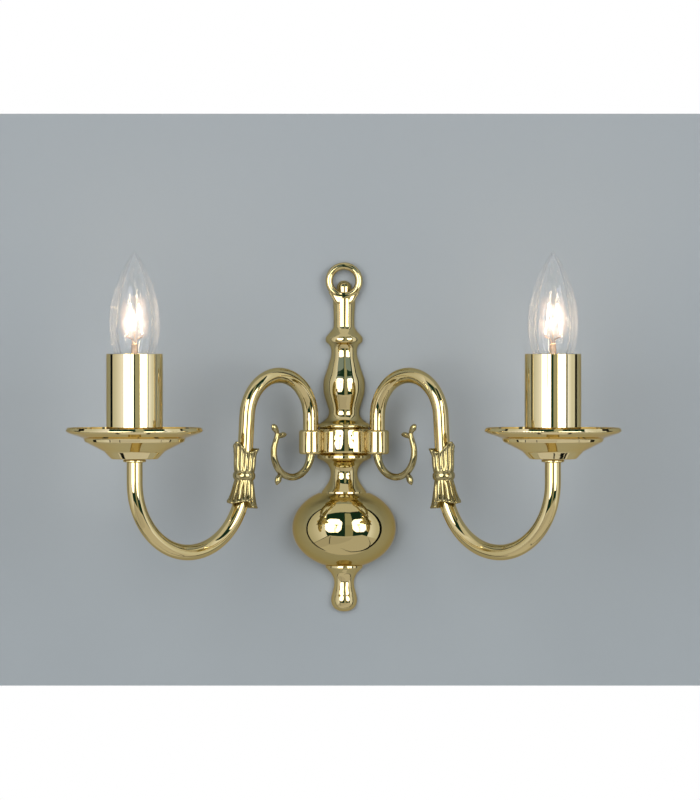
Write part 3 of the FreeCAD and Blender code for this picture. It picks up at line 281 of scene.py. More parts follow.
def clear_glass(name, waviness, glow):
    """Blown clear glass: a thin haze with painted sheen at its outline, two painted dark lines there,
    reflections, and the filament's glow painted on the glass as its own light.
    """
    paint = material(name)
    wave = paint.noise(paint.place((1.0, 1.0, 0.12)), 260.0, 2.0)
    normal = paint.bump(wave, waviness, 0.001)
    wavy_edge = paint.facing(Normal=normal)
    edge = paint.facing()

    # Partly painted sheen: a whitish haze over the clear glass, strongest at its outline where it turns away,
    # with faint random streaks
    haze = paint.surface(Base_Color=GLASS_HAZE, Roughness=0.3)
    streak = paint.remap(paint.noise(paint.place((1.0, 1.0, 0.04)), 620.0, 1.0), 0.52, 0.68)
    dust_and_sheen = wavy_edge ** 3.5 * 0.09 + streak * 0.045 + 0.004
    hazed = paint.layer(dust_and_sheen, paint.clear(GLASS_CLEAR), haze)

    # Painted shade: two fine dark lines along the glass's outline
    outline_shade = paint.surface(Base_Color=GLASS_LINE_SHADE, Roughness=0.4)
    line_shade_share = sum(paint.ridge((edge + wave * wander - place) * fineness) * dark
                for place, fineness, wander, dark in GLASS_SHADE_LINES)
    lined = paint.layer(line_shade_share, hazed, outline_shade)

    smear = paint.noise(paint.place(), 300.0, 3.0)
    rough = paint.remap(smear, 0.4, 0.8, 0.01, 0.06)
    shine = paint.surface(Base_Color=GLASS_SHINE, Metallic=1.0, Roughness=rough, Normal=normal)
    seen = paint.layer(wavy_edge ** 4.5 * 0.40 + 0.014, lined, shine)

    # Painted light: the glass itself glows, warm to white, between the glow's heights and most where it faces
    # the eye
    z = paint.split(paint.place())[2]
    middle = paint.remap(edge, 0.0, 0.20, 1.0, 0.0)
    rising = paint.remap(z, GLOW_LOW, GLOW_LOW + 0.012)
    falling = paint.remap(z, GLOW_HIGH - 0.014, GLOW_HIGH, 1.0, 0.0)
    patch = paint.remap(paint.noise(paint.place((1.0, 1.0, 0.6)), 150.0, 2.0), 0.36, 0.6)
    halo = middle ** 1.3 * rising * falling * patch * glow
    warmth = paint.blend(paint.remap(halo, 0.05, 0.5), GLOW_WARM, GLOW_WHITE)
    return paint.finish(paint.layer(halo, seen, paint.light(warmth, 1.5)))


def glowing(name, colour, strength):
    """Incandescent metal, brighter in places as the coil's turns come and go."""
    paint = material(name)
    turns = paint.noise(paint.place(), 2600.0, 2.0)
    shade = paint.blend(paint.remap(turns, 0.3, 0.7), colour, (1.0, 0.86, 0.62, 1.0))
    return paint.finish(paint.surface(Base_Color=(0.2, 0.18, 0.17, 1.0), Metallic=1.0, Roughness=0.5,
                                      Emission_Color=shade, Emission_Strength=strength))


def sheath(name, colour, dirt):
    """Soft extruded cable sheath."""
    paint = material(name)
    seat = paint.place()
    mark = paint.noise(seat, 140.0, 3.0)
    shade = paint.blend(paint.remap(mark, 0.45, 0.75), colour, dirt)
    normal = paint.bump(paint.noise(seat, 1500.0, 1.0), 0.15, 0.0001)
    return paint.finish(paint.surface(Base_Color=shade, Roughness=0.45, Normal=normal))


CAST, CAST_DEEP = (0.66, 0.53, 0.235, 1.0), (0.56, 0.43, 0.165, 1.0)
CAST_BRASS = polished_brass("cast_brass", CAST, CAST_DEEP, 0.040, 70.0)
SPUN_BRASS = polished_brass("spun_brass", (0.80, 0.66, 0.33, 1.0), (0.72, 0.56, 0.25, 1.0), 0.008, 26.0)
BALL_BRASS = polished_brass("ball_brass", (0.60, 0.48, 0.20, 1.0), (0.56, 0.44, 0.17, 1.0), 0.010, 26.0)
TUBE_BRASS = polished_brass("tube_brass", (0.68, 0.545, 0.24, 1.0), (0.58, 0.44, 0.17, 1.0), 0.015, 45.0)
FINIAL_DENTS = ((-0.0473, 0.26, 0.0015), (-0.0385, 0.14, 0.0014))
FINIAL_BRASS = polished_brass("finial_brass", CAST, CAST_DEEP, 0.22, 150.0, FINIAL_DENTS)
# Leaf castings: the second colour is painted shade, dark brown down in the grooves
LEAF_BRASS = chased_brass("leaf_brass", (0.39, 0.322, 0.135, 1.0), (0.15, 0.105, 0.03, 1.0))
STEM_GLASS = moulded("stem_glass", (0.62, 0.42, 0.27, 1.0), (0.80, 0.62, 0.45, 1.0), 0.1, 600.0)
FINISHES = {
    "polished_brass": CAST_BRASS,
    "plain_brass": plain_metal("plain_brass", (0.70, 0.53, 0.24, 1.0), (0.55, 0.38, 0.16, 1.0), 0.22, 0.3),
    "zinc_steel": plain_metal("zinc_steel", (0.62, 0.63, 0.64, 1.0), (0.45, 0.46, 0.46, 1.0), 0.28, 0.4),
    "cap_metal": plain_metal("cap_metal", (0.80, 0.79, 0.76, 1.0), (0.62, 0.61, 0.58, 1.0), 0.18, 0.2),
    "lead_wire": plain_metal("lead_wire", (0.74, 0.50, 0.33, 1.0), (0.50, 0.33, 0.22, 1.0), 0.3, 0.2),
    "holder_plastic": moulded("holder_plastic", (0.018, 0.016, 0.015, 1.0), (0.06, 0.055, 0.05, 1.0),
                              0.28, 900.0),
    "terminal_plastic": moulded("terminal_plastic", (0.78, 0.77, 0.72, 1.0), (0.62, 0.60, 0.55, 1.0),
                                0.4, 700.0),
    "black_glass": moulded("black_glass", (0.012, 0.012, 0.014, 1.0), (0.03, 0.03, 0.032, 1.0),
                           0.12, 500.0),
    "clear_glass": clear_glass("clear_glass", 0.12, 0.8),
    "filament_wire": glowing("filament_wire", (1.0, 0.72, 0.42, 1.0), 40.0),
    "flex_sheath": sheath("flex_sheath", (0.80, 0.78, 0.70, 1.0), (0.66, 0.63, 0.55, 1.0)),
}

# Nodes that don't take their slot's finish
OWN_FINISH = {"drip_pan": SPUN_BRASS, "candle_cover": SPUN_BRASS, "arm_tube": TUBE_BRASS,
              "arm_end_collar": TUBE_BRASS, "bottom_finial": FINIAL_BRASS, "half_ball": BALL_BRASS,
              "bulb_stem": STEM_GLASS}


def clothe(piece, finish):
    """Gives a piece its one material."""
    piece.data.materials.clear()
    piece.data.materials.append(finish)


def dress_frame():
    """Puts the finishes on the CAD nodes."""
    for part in frame["record"]["subparts"]:
        plain = part["node"].replace("left_", "").replace("right_", "")
        clothe(nodes[part["node"]], OWN_FINISH.get(plain, FINISHES[part["material_slot"]]))


# The arms' plane, and the leaf sleeve's band in it, in mm
ARM_TURN = math.radians(43.0)
LEG_LEAN = math.radians(3.8)
BAND_REACH, BAND_Z = 96.755, 40.5

# Leaf sleeve: its ribs, and how far its rims stand off the band, plain, more at the outer leaf, and more
# at the back, in mm; the outer leaf spreads this many degrees to either side
RIBS = 12
LEAF_SPREAD = 66.0
CUP_RIM, CUP_LEAF, CUP_BACK = 16.3, 7.0, 3.0
SKIRT_RIM, SKIRT_LEAF, SKIRT_BACK = 17.6, 2.0, 4.6
WAIST = 3.0
SLEEVE_WALL = 1.3
SLEEVE_BORE, BORE_END = 5.55, 4.0


def arm_point(side, reach, z, aside=0.0):
    """A point in metres, from reach and height in the arm's plane and distance in front of it in mm."""
    across = reach * math.cos(ARM_TURN) - aside * math.sin(ARM_TURN)
    ahead = reach * math.sin(ARM_TURN) + aside * math.cos(ARM_TURN)
    return Vector((side * across * MM, -ahead * MM, z * MM))


def put(name, data):
    """Adds a piece, lamp or camera to the scene."""
    made = bpy.data.objects.new(name, data)
    bpy.context.scene.collection.objects.link(made)
    return made


def piece_of(name, work):
    """A piece with the mesh that was worked out."""
    mesh = bpy.data.meshes.new(name)
    work.to_mesh(mesh)
    work.free()
    return put(name, mesh)


def skin(name, rings, looped=False):
    """A piece with a closed skin through rings of points, capped at both ends or looped."""
    work = bmesh.new()
    laid = [[work.verts.new(point) for point in ring] for ring in rings]
    if looped:
        laid.append(laid[0])
    for near, far in zip(laid, laid[1:]):
        for k in range(len(near)):
            m = (k + 1) % len(near)
            work.faces.new((near[k], near[m], far[m], far[k]))
    if not looped:
        work.faces.new(laid[0])
        work.faces.new(laid[-1])
    bmesh.ops.recalc_face_normals(work, faces=work.faces)
    piece = piece_of(name, work)
    for side in piece.data.polygons:
        side.use_smooth = True
    return piece


def join(name, pieces):
    """One piece of several skins."""
    work = bmesh.new()
    for piece in pieces:
        work.from_mesh(piece.data)
        bpy.data.objects.remove(piece)
    return piece_of(name, work)


def through(stations, place):
    """Value at a place on a smooth line through (place, value) stations."""
    for k in range(len(stations) - 1):
        (a, first), (b, last) = stations[k], stations[k + 1]
        if place <= b or k == len(stations) - 2:
            before = stations[k - 1] if k else stations[k]
            after = stations[k + 2] if k + 2 < len(stations) else stations[k + 1]
            rise_in = (last - before[1]) / (b - before[0])
            rise_out = (after[1] - first) / (after[0] - a)
            t = min(max((place - a) / (b - a), 0.0), 1.0)
            span = b - a
            return ((2 * t ** 3 - 3 * t ** 2 + 1) * first + (t ** 3 - 2 * t ** 2 + t) * rise_in * span
                    + (3 * t ** 2 - 2 * t ** 3) * last + (t ** 3 - t ** 2) * rise_out * span)


def ease(value, low, high):
    """0 below low, 1 above high, smooth between."""
    t = min(max((value - low) / (high - low), 0.0), 1.0)
    return t * t * (3 - 2 * t)


def cup_height(turn):
    """How far the upper cup's rim stands above the band, at degrees from the arm's outer side."""
    away = abs((turn + 180.0) % 360.0 - 180.0)
    if away < LEAF_SPREAD:
        return CUP_RIM + CUP_LEAF * (0.5 + 0.5 * math.cos(math.pi * away / LEAF_SPREAD)) ** 0.85
    return CUP_RIM + CUP_BACK * math.sin(math.pi / 2 * min((away - LEAF_SPREAD) / 80.0, 1.0)) ** 2


def skirt_drop(turn):
    """How far the skirt's rim hangs below the band."""
    away = abs((turn + 180.0) % 360.0 - 180.0)
    if away < LEAF_SPREAD:
        return SKIRT_RIM + SKIRT_LEAF * (0.5 + 0.5 * math.cos(math.pi * away / LEAF_SPREAD))
    return SKIRT_RIM + SKIRT_BACK * math.sin(math.pi / 2 * min((away - LEAF_SPREAD) / 34.0, 1.0)) ** 2


def sleeve_radius(along, turn):
    """Outer radius of the leaf sleeve, ribs and all."""
    away = abs((turn + 180.0) % 360.0 - 180.0)
    swept = turn + 17.0 * math.sin(math.radians(turn)) * (min(along, 0.0) / 20.0) ** 2
    rib = abs(math.cos(math.radians(swept * RIBS / 2))) ** 0.75 - 0.55
    if along >= 0:
        rim = cup_height(turn)
        plain = through([(0.0, 7.3), (4.0, 7.35), (12.0, 7.6), (20.0, 8.0), (26.0, 8.6)], along)
        plain += (0.3 + 0.9 * ease(away, 80, 130)) * ease(along, rim - 5.0, rim)
        plain += 0.3 * ease(along, rim - 1.4, rim)
        depth = 0.95 * ease(along, 2.0, 8.0) + 0.15
    else:
        drop = -along
        rim = skirt_drop(turn)
        past = max(drop - WAIST, 0.0)
        flare = 0.12 * past + 0.0125 * past ** 2
        plain = 6.8 + flare * (0.84 - 0.38 * ease(away, 50, 110))
        plain += 0.35 * ease(drop, rim - 1.6, rim)
        depth = 1.1 * ease(drop, 2.0, 9.0) + 0.15
    return plain + depth * rib


def leaf_sleeve(side):
    """Cast sleeve on an arm's leg: two fluted leaf cups back to back with a rounded band between them."""
    columns, rows, band_rows, edge_rows = RIBS * 18, 24, 12, 6
    half_wall = SLEEVE_WALL / 2
    rings = []

    def ring(law):
        """Adds a ring from a law that gives the radius and the place along the leg at each turn."""
        points = []
        for k in range(columns):
            turn = 360.0 * k / columns
            radius, along = law(turn)
            out = radius * math.cos(math.radians(turn))
            reach = BAND_REACH - along * math.sin(LEG_LEAN) + out * math.cos(LEG_LEAN)
            z = BAND_Z + along * math.cos(LEG_LEAN) + out * math.sin(LEG_LEAN)
            points.append(arm_point(side, reach, z, radius * math.sin(math.radians(turn))))
        rings.append(points)

    def cup_edge(turn):
        return sleeve_radius(cup_height(turn), turn)

    def skirt_edge(turn):
        return sleeve_radius(-skirt_drop(turn), turn)

    def up_the_skirt(turn, share):
        along = -WAIST - (skirt_drop(turn) - WAIST) * (1 - share)
        return sleeve_radius(along, turn), along

    def up_the_cup(turn, share):
        along = WAIST + (cup_height(turn) - WAIST) * share
        return sleeve_radius(along, turn), along

    for k in range(rows + 1):
        ring(lambda turn: up_the_skirt(turn, k / rows))
    for k in range(band_rows + 1):
        along = -2.7 + 5.4 * k / band_rows
        ring(lambda turn: (6.5 + 1.55 * math.sqrt(1 - (along / 2.9) ** 2), along))
    for k in range(rows + 1):
        ring(lambda turn: up_the_cup(turn, k / rows))
    for k in range(1, edge_rows):
        roll = math.pi * k / edge_rows
        ring(lambda turn: (cup_edge(turn) - half_wall * (1 - math.cos(roll)),
                           cup_height(turn) + half_wall * math.sin(roll)))
    for k in range(edge_rows + 1):
        share = k / edge_rows
        ring(lambda turn: (SLEEVE_BORE + (cup_edge(turn) - SLEEVE_WALL - SLEEVE_BORE) * (1 - share),
                           cup_height(turn) - (cup_height(turn) - BORE_END) * share))
    for k in range(edge_rows + 1):
        share = k / edge_rows
        ring(lambda turn: (SLEEVE_BORE + (skirt_edge(turn) - SLEEVE_WALL - SLEEVE_BORE) * share ** 1.5,
                           -BORE_END - (skirt_drop(turn) - BORE_END) * share))
    for k in range(1, edge_rows):
        roll = math.pi * k / edge_rows
        ring(lambda turn: (skirt_edge(turn) - half_wall * (1 + math.cos(roll)),
                           -skirt_drop(turn) - half_wall * math.sin(roll)))
    return skin("leaf_sleeve_" + ("right" if side > 0 else "left"), rings, looped=True)


def bar(side, stations, name, flatten=1.0):
    """A round bar in the arm's plane through (reach, z, radius) stations."""
    rings = []
    for k, (reach, z, radius) in enumerate(stations):
        before, after = stations[max(k - 1, 0)], stations[min(k + 1, len(stations) - 1)]
        run, climb = after[0] - before[0], after[1] - before[1]
        length = math.hypot(run, climb)
        ring = []
        for m in range(28):
            turn = math.tau * m / 28
            out, aside = radius * math.cos(turn), radius * flatten * math.sin(turn)
            ring.append(arm_point(side, reach - climb / length * out, z + run / length * out, aside))
        rings.append(ring)
    return skin(name, rings)


def leaf_tip(side, root, tip, width, name, hook=0.0):
    """A rounded, spoon-shaped leaf tip of the scroll, bent a little if hooked."""
    run, climb = tip[0] - root[0], tip[1] - root[1]
    length = math.hypot(run, climb)
    spoon = [(0.0, 0.6), (0.25, 0.78), (0.55, 1.0), (0.78, 0.82), (0.93, 0.42), (1.0, 0.1)]
    stations = []
    for k in range(15):
        share = k / 14
        bend = hook * math.sin(math.pi * share)
        stations.append((root[0] + run * share - climb / length * bend,
                         root[1] + climb * share + run / length * bend,
                         width / 2 * through(spoon, share)))
    return bar(side, stations, name, 0.8)


def leaf_scroll(side):
    """C-scroll under a boss, with three leaf tips."""
    reach_c, z_c, sweep, wrap = 50.7, 56.4, 17.9, math.radians(204.0)
    thick = [(0.0, 3.2), (0.12, 2.85), (0.3, 2.6), (0.5, 2.5), (0.75, 2.45), (1.0, 2.05), (1.3, 1.7)]
    stations = [(reach_c - sweep, 58.0, 3.2), (reach_c - sweep, 57.2, 3.2)]
    for k in range(41):
        share = k / 40
        turn = math.pi + wrap * share
        stations.append((reach_c + sweep * math.cos(turn), z_c + sweep * math.sin(turn),
                         through(thick, share)))
    heading = math.pi + wrap + math.pi / 2
    reach, z = stations[-1][:2]
    step, unwind = 0.9, math.radians(1.6)
    for k in range(1, 9):
        heading -= unwind
        reach, z = reach + step * math.cos(heading), z + step * math.sin(heading)
        stations.append((reach, z, through(thick, 1.0 + 0.3 * k / 8)))
    name = "leaf_scroll_" + ("right" if side > 0 else "left")
    end = (reach, z - 0.6)
    fork = (reach + 0.5, z - 4.0)
    spur = (reach_c + sweep * math.cos(math.radians(-55)), z_c + sweep * math.sin(math.radians(-55)))
    bits = [bar(side, stations, name + "_stem"),
            leaf_tip(side, end, (end[0] + 5.4, end[1] + 6.4), 5.0, name + "_tip", 0.5),
            leaf_tip(side, fork, (fork[0] - 9.4, fork[1] + 2.6), 4.0, name + "_side", -0.9),
            leaf_tip(side, spur, (spur[0] + 5.0, spur[1] - 8.6), 5.2, name + "_spur", 0.6)]
    return join(name, bits)


def bulb_glass(side):
    """Blown candle bulb with a pointed tip, a thin shell open at its neck."""
    low, top, wall = GLASS_LOW.z / MM, GLASS_HIGH.z / MM - 0.1, 0.7
    outline = [(low, 7.5), (low + 2.6, 7.8), (low + 5.9, 11.3), (low + 11.1, 14.2), (low + 20.6, 16.6),
               (low + 32.8, 17.48), (low + 44.0, 16.5), (low + 54.2, 14.0), (low + 64.5, 10.6),
               (low + 72.2, 7.05), (low + 76.3, 4.7), (low + 79.2, 2.6), (low + 81.2, 1.05), (top, 0.3)]
    heights = [low + (top - low) * (1 - (1 - k / 90) ** 1.25) for k in range(91)]
    shell = [(through(outline, z) - wall, z) for z in reversed(heights) if through(outline, z) > wall + 0.5]
    shell += [(through(outline, z), z) for z in heights]
    rings = []
    for radius, z in shell:
        ring = []
        for k in range(96):
            turn = math.tau * k / 96
            ring.append(Vector((side * CANDLE.x + radius * MM * math.cos(turn),
                                CANDLE.y + radius * MM * math.sin(turn), z * MM)))
        rings.append(ring)
    return skin("bulb_glass_" + ("right" if side > 0 else "left"), rings)


def smooth_outline(stations, steps):
    """(radius, z) points on a smooth line through (z, radius) stations given from low to high."""
    low, high = stations[0][0], stations[-1][0]
    heights = [low + (high - low) * k / steps for k in range(steps + 1)]
    return [(through(stations, z), z) for z in heights]


def half_casting(name, outside, inside, columns=96):
    """A hollow half-round casting, flat at the back, from its two outlines as (radius, z) in mm."""
    rings = []
    for k in range(columns + 1):
        turn = math.radians(-90.0 + 180.0 * k / columns)
        rings.append([Vector((r * math.sin(turn), -r * math.cos(turn), z)) * MM
                      for r, z in outside + inside])
    return skin(name, rings)


def hub_band():
    """Barrel-shaped face of the hub's drum, rounded over at both edges."""
    low, high, inner = 54.85, 73.15, 16.0
    outline = [(low, 17.3), (55.05, 18.15), (55.6, 18.65), (56.4, 18.95), (57.3, 19.13), (60.0, 19.37),
               (63.0, 19.45), (66.5, 19.29), (70.15, 18.79), (71.6, 18.46), (72.5, 18.14),
               (72.95, 17.75), (high, 17.2)]
    return half_casting("hub_band", smooth_outline(outline, 60), [(inner, high), (inner, low)], 80)


def block(name, low, high):
    """A plain box between two corners in mm."""
    plan = ((low[0], low[2]), (high[0], low[2]), (high[0], high[2]), (low[0], high[2]))
    piece = skin(name, [[Vector((x, y, z)) * MM for x, z in plan] for y in (low[1], high[1])])
    for side in piece.data.polygons:
        side.use_smooth = False
    return piece


def ring_of(name, centre, sweep, section):
    """A round ring that lies parallel to the wall."""
    rings = []
    for k in range(96):
        turn = math.tau * k / 96
        ring = []
        for m in range(32):
            roll = math.tau * m / 32
            reach = sweep + section * math.cos(roll)
            place = Vector((reach * math.sin(turn), section * math.sin(roll), reach * math.cos(turn)))
            ring.append((centre + place) * MM)
        rings.append(ring)
    return skin(name, rings, looped=True)


def upper_baluster():
    """Top casting: flared foot, vase, rim, neck, stub and hanging ring."""
    foot = [(73.2, 17.4), (73.5, 18.5), (74.1, 19.15), (74.8, 19.2), (75.5, 18.9), (76.3, 17.9),
            (78.7, 14.2), (82.2, 11.5), (85.4, 11.1), (89.2, 12.0), (92.0, 12.95), (95.2, 13.95),
            (98.0, 14.65), (101.5, 15.05), (105.0, 15.1), (108.0, 14.8), (110.2, 14.25), (112.5, 13.45),
            (116.0, 12.25), (120.0, 11.05), (124.5, 9.75), (126.0, 9.45), (127.5, 9.3), (129.5, 9.3)]
    rim = [(129.5, 9.3), (131.2, 9.6), (132.7, 10.2), (134.1, 11.2), (135.0, 12.5), (135.8, 13.15),
           (137.0, 13.45), (138.4, 13.42), (139.4, 13.0), (140.6, 12.1), (142.9, 10.0), (144.6, 8.6),
           (146.0, 7.8), (147.5, 7.5), (150.0, 7.45), (156.0, 7.55), (162.0, 7.85), (166.6, 8.0),
           (167.8, 7.7), (168.3, 6.8), (168.6, 5.4)]
    stub, stub_low, stub_high = 5.25, 169.4, 175.05
    dome = []
    for k in range(12):
        turn = math.pi / 2 * k / 12
        dome.append((stub * math.cos(turn), stub_high + stub * math.sin(turn)))
    dome.append((0.05, stub_high + stub))
    outside = smooth_outline(foot, 150) + smooth_outline(rim, 130)[1:] + [(stub, stub_low)] + dome
    hollow_top, wall = 120.0, 2.4
    inside = [(0.05, hollow_top)]
    inside += [(r - wall, z) for r, z in reversed(smooth_outline(foot, 60)) if z < hollow_top]
    ring_y = -5.0
    turns = [math.tau * k / 48 for k in range(48)]
    joint = [[Vector((width * math.cos(turn), ring_y + 2.6 * math.sin(turn), z)) * MM for turn in turns]
             for width, z in ((6.0, 163.0), (7.6, 165.0), (8.4, 166.6), (9.2, 168.0), (10.0, 169.3),
                              (10.8, 170.6), (11.2, 171.7))]
    bits = [half_casting("baluster_body", outside, inside),
            ring_of("baluster_ring", Vector((0.0, ring_y, 179.9)), 10.8, 2.7),
            skin("baluster_joint", joint),
            block("baluster_lug", (-4.0, -13.0, 97.5), (4.0, -3.8, 107.5))]
    return join("upper_baluster_cast", bits)


def build_castings():
    """The pieces whose carving or drawn glass is finer than the solids."""
    for name, side in SIDES.items():
        own = ((leaf_sleeve(side), "_leaf_sleeve", "fixture", LEAF_BRASS),
               (leaf_scroll(side), "_leaf_scroll", "fixture", LEAF_BRASS),
               (bulb_glass(side), "_bulb_glass", name + "_bulb", FINISHES["clear_glass"]))
        for made, node, body, finish in own:
            clothe(made, finish)
            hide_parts(name + node)
            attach(made, body)
            "clear_glass" if "glass" in node else "polished_brass"
    top = upper_baluster()
    clothe(top, CAST_BRASS)
    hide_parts("upper_baluster")
    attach(top, "fixture")
    band = hub_band()
    clothe(band, CAST_BRASS)
    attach(band, "fixture")


def sheet_of(name, corners, finish):
    """One flat stage panel through its corners."""
    mesh = bpy.data.meshes.new(name)
    mesh.from_pydata([tuple(c) for c in corners], [], [tuple(range(len(corners)))])
    panel = put(name, mesh)
    clothe(panel, finish)
    return panel


WALL_GREY = (0.386, 0.425, 0.450, 1.0)
# Painted light: the wall's grey turns lighter towards the bottom
WALL_LOW_LIT = (0.403, 0.446, 0.470, 1.0)
WALL_CLOUD = (0.376, 0.416, 0.440, 1.0)
# Painted light: the glow that mirrors see on the wall low down
WALL_MIRROR_GLOW = (0.54, 0.53, 0.50, 1.0)

# The picture shows the wall's grey between these heights, and white beyond
BAND_LOW, BAND_HIGH = -0.1145, 0.3015


def wall_finish():
    """Flat grey paint with painted light: lighter towards the bottom and, in mirrors, glowing lighter low
    down; white beyond the band, and unseen from behind.
    """
    paint = material("wall_paint")
    seat = paint.place()
    z = paint.split(seat)[2]
    # Painted light: the grey turns lighter towards the bottom
    painted_light_grey = paint.blend(paint.remap(z, 0.2, -0.1), WALL_GREY, WALL_LOW_LIT)
    cloud = paint.noise(seat, 5.0, 3.0)
    colour = paint.blend(paint.remap(cloud, 0.3, 0.7, 0.0, 0.6), painted_light_grey, WALL_CLOUD)
    normal = paint.bump(paint.noise(seat, 700.0, 2.0), 0.1, 0.0002)
    matt = paint.surface(Base_Color=colour, Roughness=0.85, Normal=normal)
    seen = paint.ray("Is Camera Ray")
    outside = paint.maths("MAXIMUM", z < BAND_LOW, z > BAND_HIGH)
    banded = paint.layer(outside * seen, matt, paint.light(WHITE))
    # Painted light: to mirrors the wall glows lighter low down
    mirror_glow_share = paint.remap(z, 0.07, -0.01) * paint.ray("Is Glossy Ray")
    with_mirror_glow = paint.layer(mirror_glow_share * 0.5, banded, paint.light(WALL_MIRROR_GLOW))
    return paint.finish(paint.layer(paint.behind() * seen, with_mirror_glow, paint.clear()))


# Half widths of the fixture's flat back, a little inside its edge, with their heights from top to bottom
BACK_OUTLINE = [(0.0038, 0.172), (0.0060, 0.166), (0.0055, 0.150), (0.0100, 0.1385), (0.0070, 0.130),
                (0.0115, 0.104), (0.0085, 0.086), (0.0140, 0.073), (0.0140, 0.056), (0.0075, 0.044),
                (0.0080, 0.036), (0.0130, 0.026), (0.0270, 0.018), (0.0340, 0.006), (0.0340, -0.006),
                (0.0270, -0.018), (0.0110, -0.0265), (0.0055, -0.036), (0.0065, -0.050), (0.0030, -0.057)]


def build_wall():
    """The grey board behind the light, open where the fixture's back lies on it."""
    half, low, high, back = 0.505, -0.41, 1.4, 0.0006
    work = bmesh.new()
    for side in (1, -1):
        inner = [(side * w, z) for w, z in BACK_OUTLINE]
        inner = [(0.0, BACK_OUTLINE[0][1])] + inner + [(0.0, BACK_OUTLINE[-1][1])]
        ring = [(0.0, high), (side * half, high), (side * half, low), (0.0, low)] + inner[::-1]
        corners = [work.verts.new((x, back, z)) for x, z in ring]
        if side < 0:
            corners.reverse()
        work.faces.new(corners)
    for face in work.faces:
        face.normal_update()
        if face.normal.y > 0:
            face.normal_flip()
    wall = piece_of("wall_board", work)
    clothe(wall, wall_finish())


def plain_glow(name, colour):
    """Plain light, for a card that only shows in reflections."""
    paint = material(name)
    return paint.finish(paint.light(colour))


def one_sided_glow(name, colour):
    """Plain light from a card's upper side alone."""
    paint = material(name)
    return paint.finish(paint.layer(paint.behind(), paint.light(colour), paint.clear()))


def reflection_only(panel):
    """Hides a card from everything but mirror-like reflections."""
    panel.visible_camera = False
    panel.visible_diffuse = False
    panel.visible_shadow = False
    panel.visible_transmission = False
    panel.visible_volume_scatter = False


def facing_card(name, centre, target, half_width, half_height, finish, cut=0.0):
    """An upright card turned to its target, with cut corners if asked."""
    across = (target - centre).cross(Vector((0, 0, 1))).normalized()
    up = across.cross(target - centre).normalized()
    if cut:
        steps = [(1, -1 + cut), (1, 1 - cut), (1 - cut, 1), (-1 + cut, 1),
                 (-1, 1 - cut), (-1, -1 + cut), (-1 + cut, -1), (1 - cut, -1)]
    else:
        steps = [(1, -1), (1, 1), (-1, 1), (-1, -1)]
    corners = [centre + across * (u * half_width) + up * (v * half_height) for u, v in steps]
    reflection_only(sheet_of(name, corners, finish))


# The tones of the studio round the light, as the brass shows it
ROOM_TONES = {"roof_cream": (0.72, 0.75, 0.86, 1.0), "floor_cream": (0.66, 0.67, 0.76, 1.0),
              "floor_shade": (0.57, 0.575, 0.65, 1.0), "teal": (0.012, 0.045, 0.04, 1.0),
              "slate": (0.46, 0.50, 0.46, 1.0), "low_slate": (0.40, 0.42, 0.37, 1.0),
              "black": (0.004, 0.006, 0.006, 1.0)}
LEFT_BACK, LEFT_FRONT = (0.64, 0.665, 0.73, 1.0), (1.04, 1.10, 1.45, 1.0)
RIGHT_BACK, RIGHT_FRONT = (0.755, 0.80, 0.92, 1.0), (1.07, 1.15, 1.55, 1.0)
SOFTBOX_POWER = 5.6
SOFTBOX_RIM = (0.42, 0.46, 0.80, 1.0)
SOFTBOX_SECOND = (0.34, 0.43, 1.0, 1.0)

# Sloping haze in front of the vase: bearings from straight ahead, in degrees, then how far out the cards
# begin and end, and how high they stand there
HAZE = (0.28, 0.40, 0.60, 1.0)
HAZE_BEARINGS = {"left": (-50, -3), "right": (12, 52)}
HAZE_NEAR, HAZE_FAR = 0.30, 1.1
HAZE_FOOT, HAZE_SLOPE = 0.031, 0.75

# Softboxes, which face the ball: centre, half width, half height, and how far aside of it the lamp's
# head and pole stand
BALL = Vector((0.0, -0.037, 0.0))
SOFTBOXES = {"left": (Vector((-0.63, -1.42, 0.35)), 0.53, 0.69, 0.18, 0.12),
             "right": (Vector((1.02, -1.45, 0.40)), 0.51, 0.73, -0.07, -0.01)}
SOFTBOX_CUT = 0.42


def softbox_finish():
    """A white softbox, dimmer at its rim, which reflections from brass to brass see cooler and weaker."""
    paint = material("softbox_white")
    across, deep, up = paint.split(paint.node("ShaderNodeTexCoord").outputs["Generated"])
    reach = ((across - 0.5) ** 2.0 + (up - 0.5) ** 2.0) ** 0.5
    depth = paint.ray("Ray Depth")
    colour = paint.blend(depth > 1.5, WHITE, SOFTBOX_SECOND)
    shaded = paint.blend(paint.remap(reach, 0.40, 0.60), colour, SOFTBOX_RIM)
    return paint.finish(paint.light(shaded, SOFTBOX_POWER))


def side_wall_finish(name, back_tone, front_tone, back_y, front_y):
    """A side wall of the studio, lighter towards the softboxes."""
    paint = material(name)
    y = paint.split(paint.place())[1]
    shade = paint.blend(paint.remap(y, front_y, back_y, 1.0, 0.0), back_tone, front_tone)
    return paint.finish(paint.light(shade))


def strip(first, last, low, high):
    """Corners of an upright card between two places on the plan."""
    return [(*first, low), (*last, low), (*last, high), (*first, high)]


def level(z, *plan):
    """Corners of a level card through places on the plan."""
    return [(x, y, z) for x, y in plan]


def haze_corners(first, last):
    """Corners of a haze card between two bearings."""
    corners = []
    for reach, turns in ((HAZE_NEAR, (last, first)), (HAZE_FAR, (first, last))):
        for turn in turns:
            aside, ahead = math.sin(math.radians(turn)), math.cos(math.radians(turn))
            corners.append((reach * aside, -reach * ahead, HAZE_FOOT + HAZE_SLOPE * reach))
    return corners


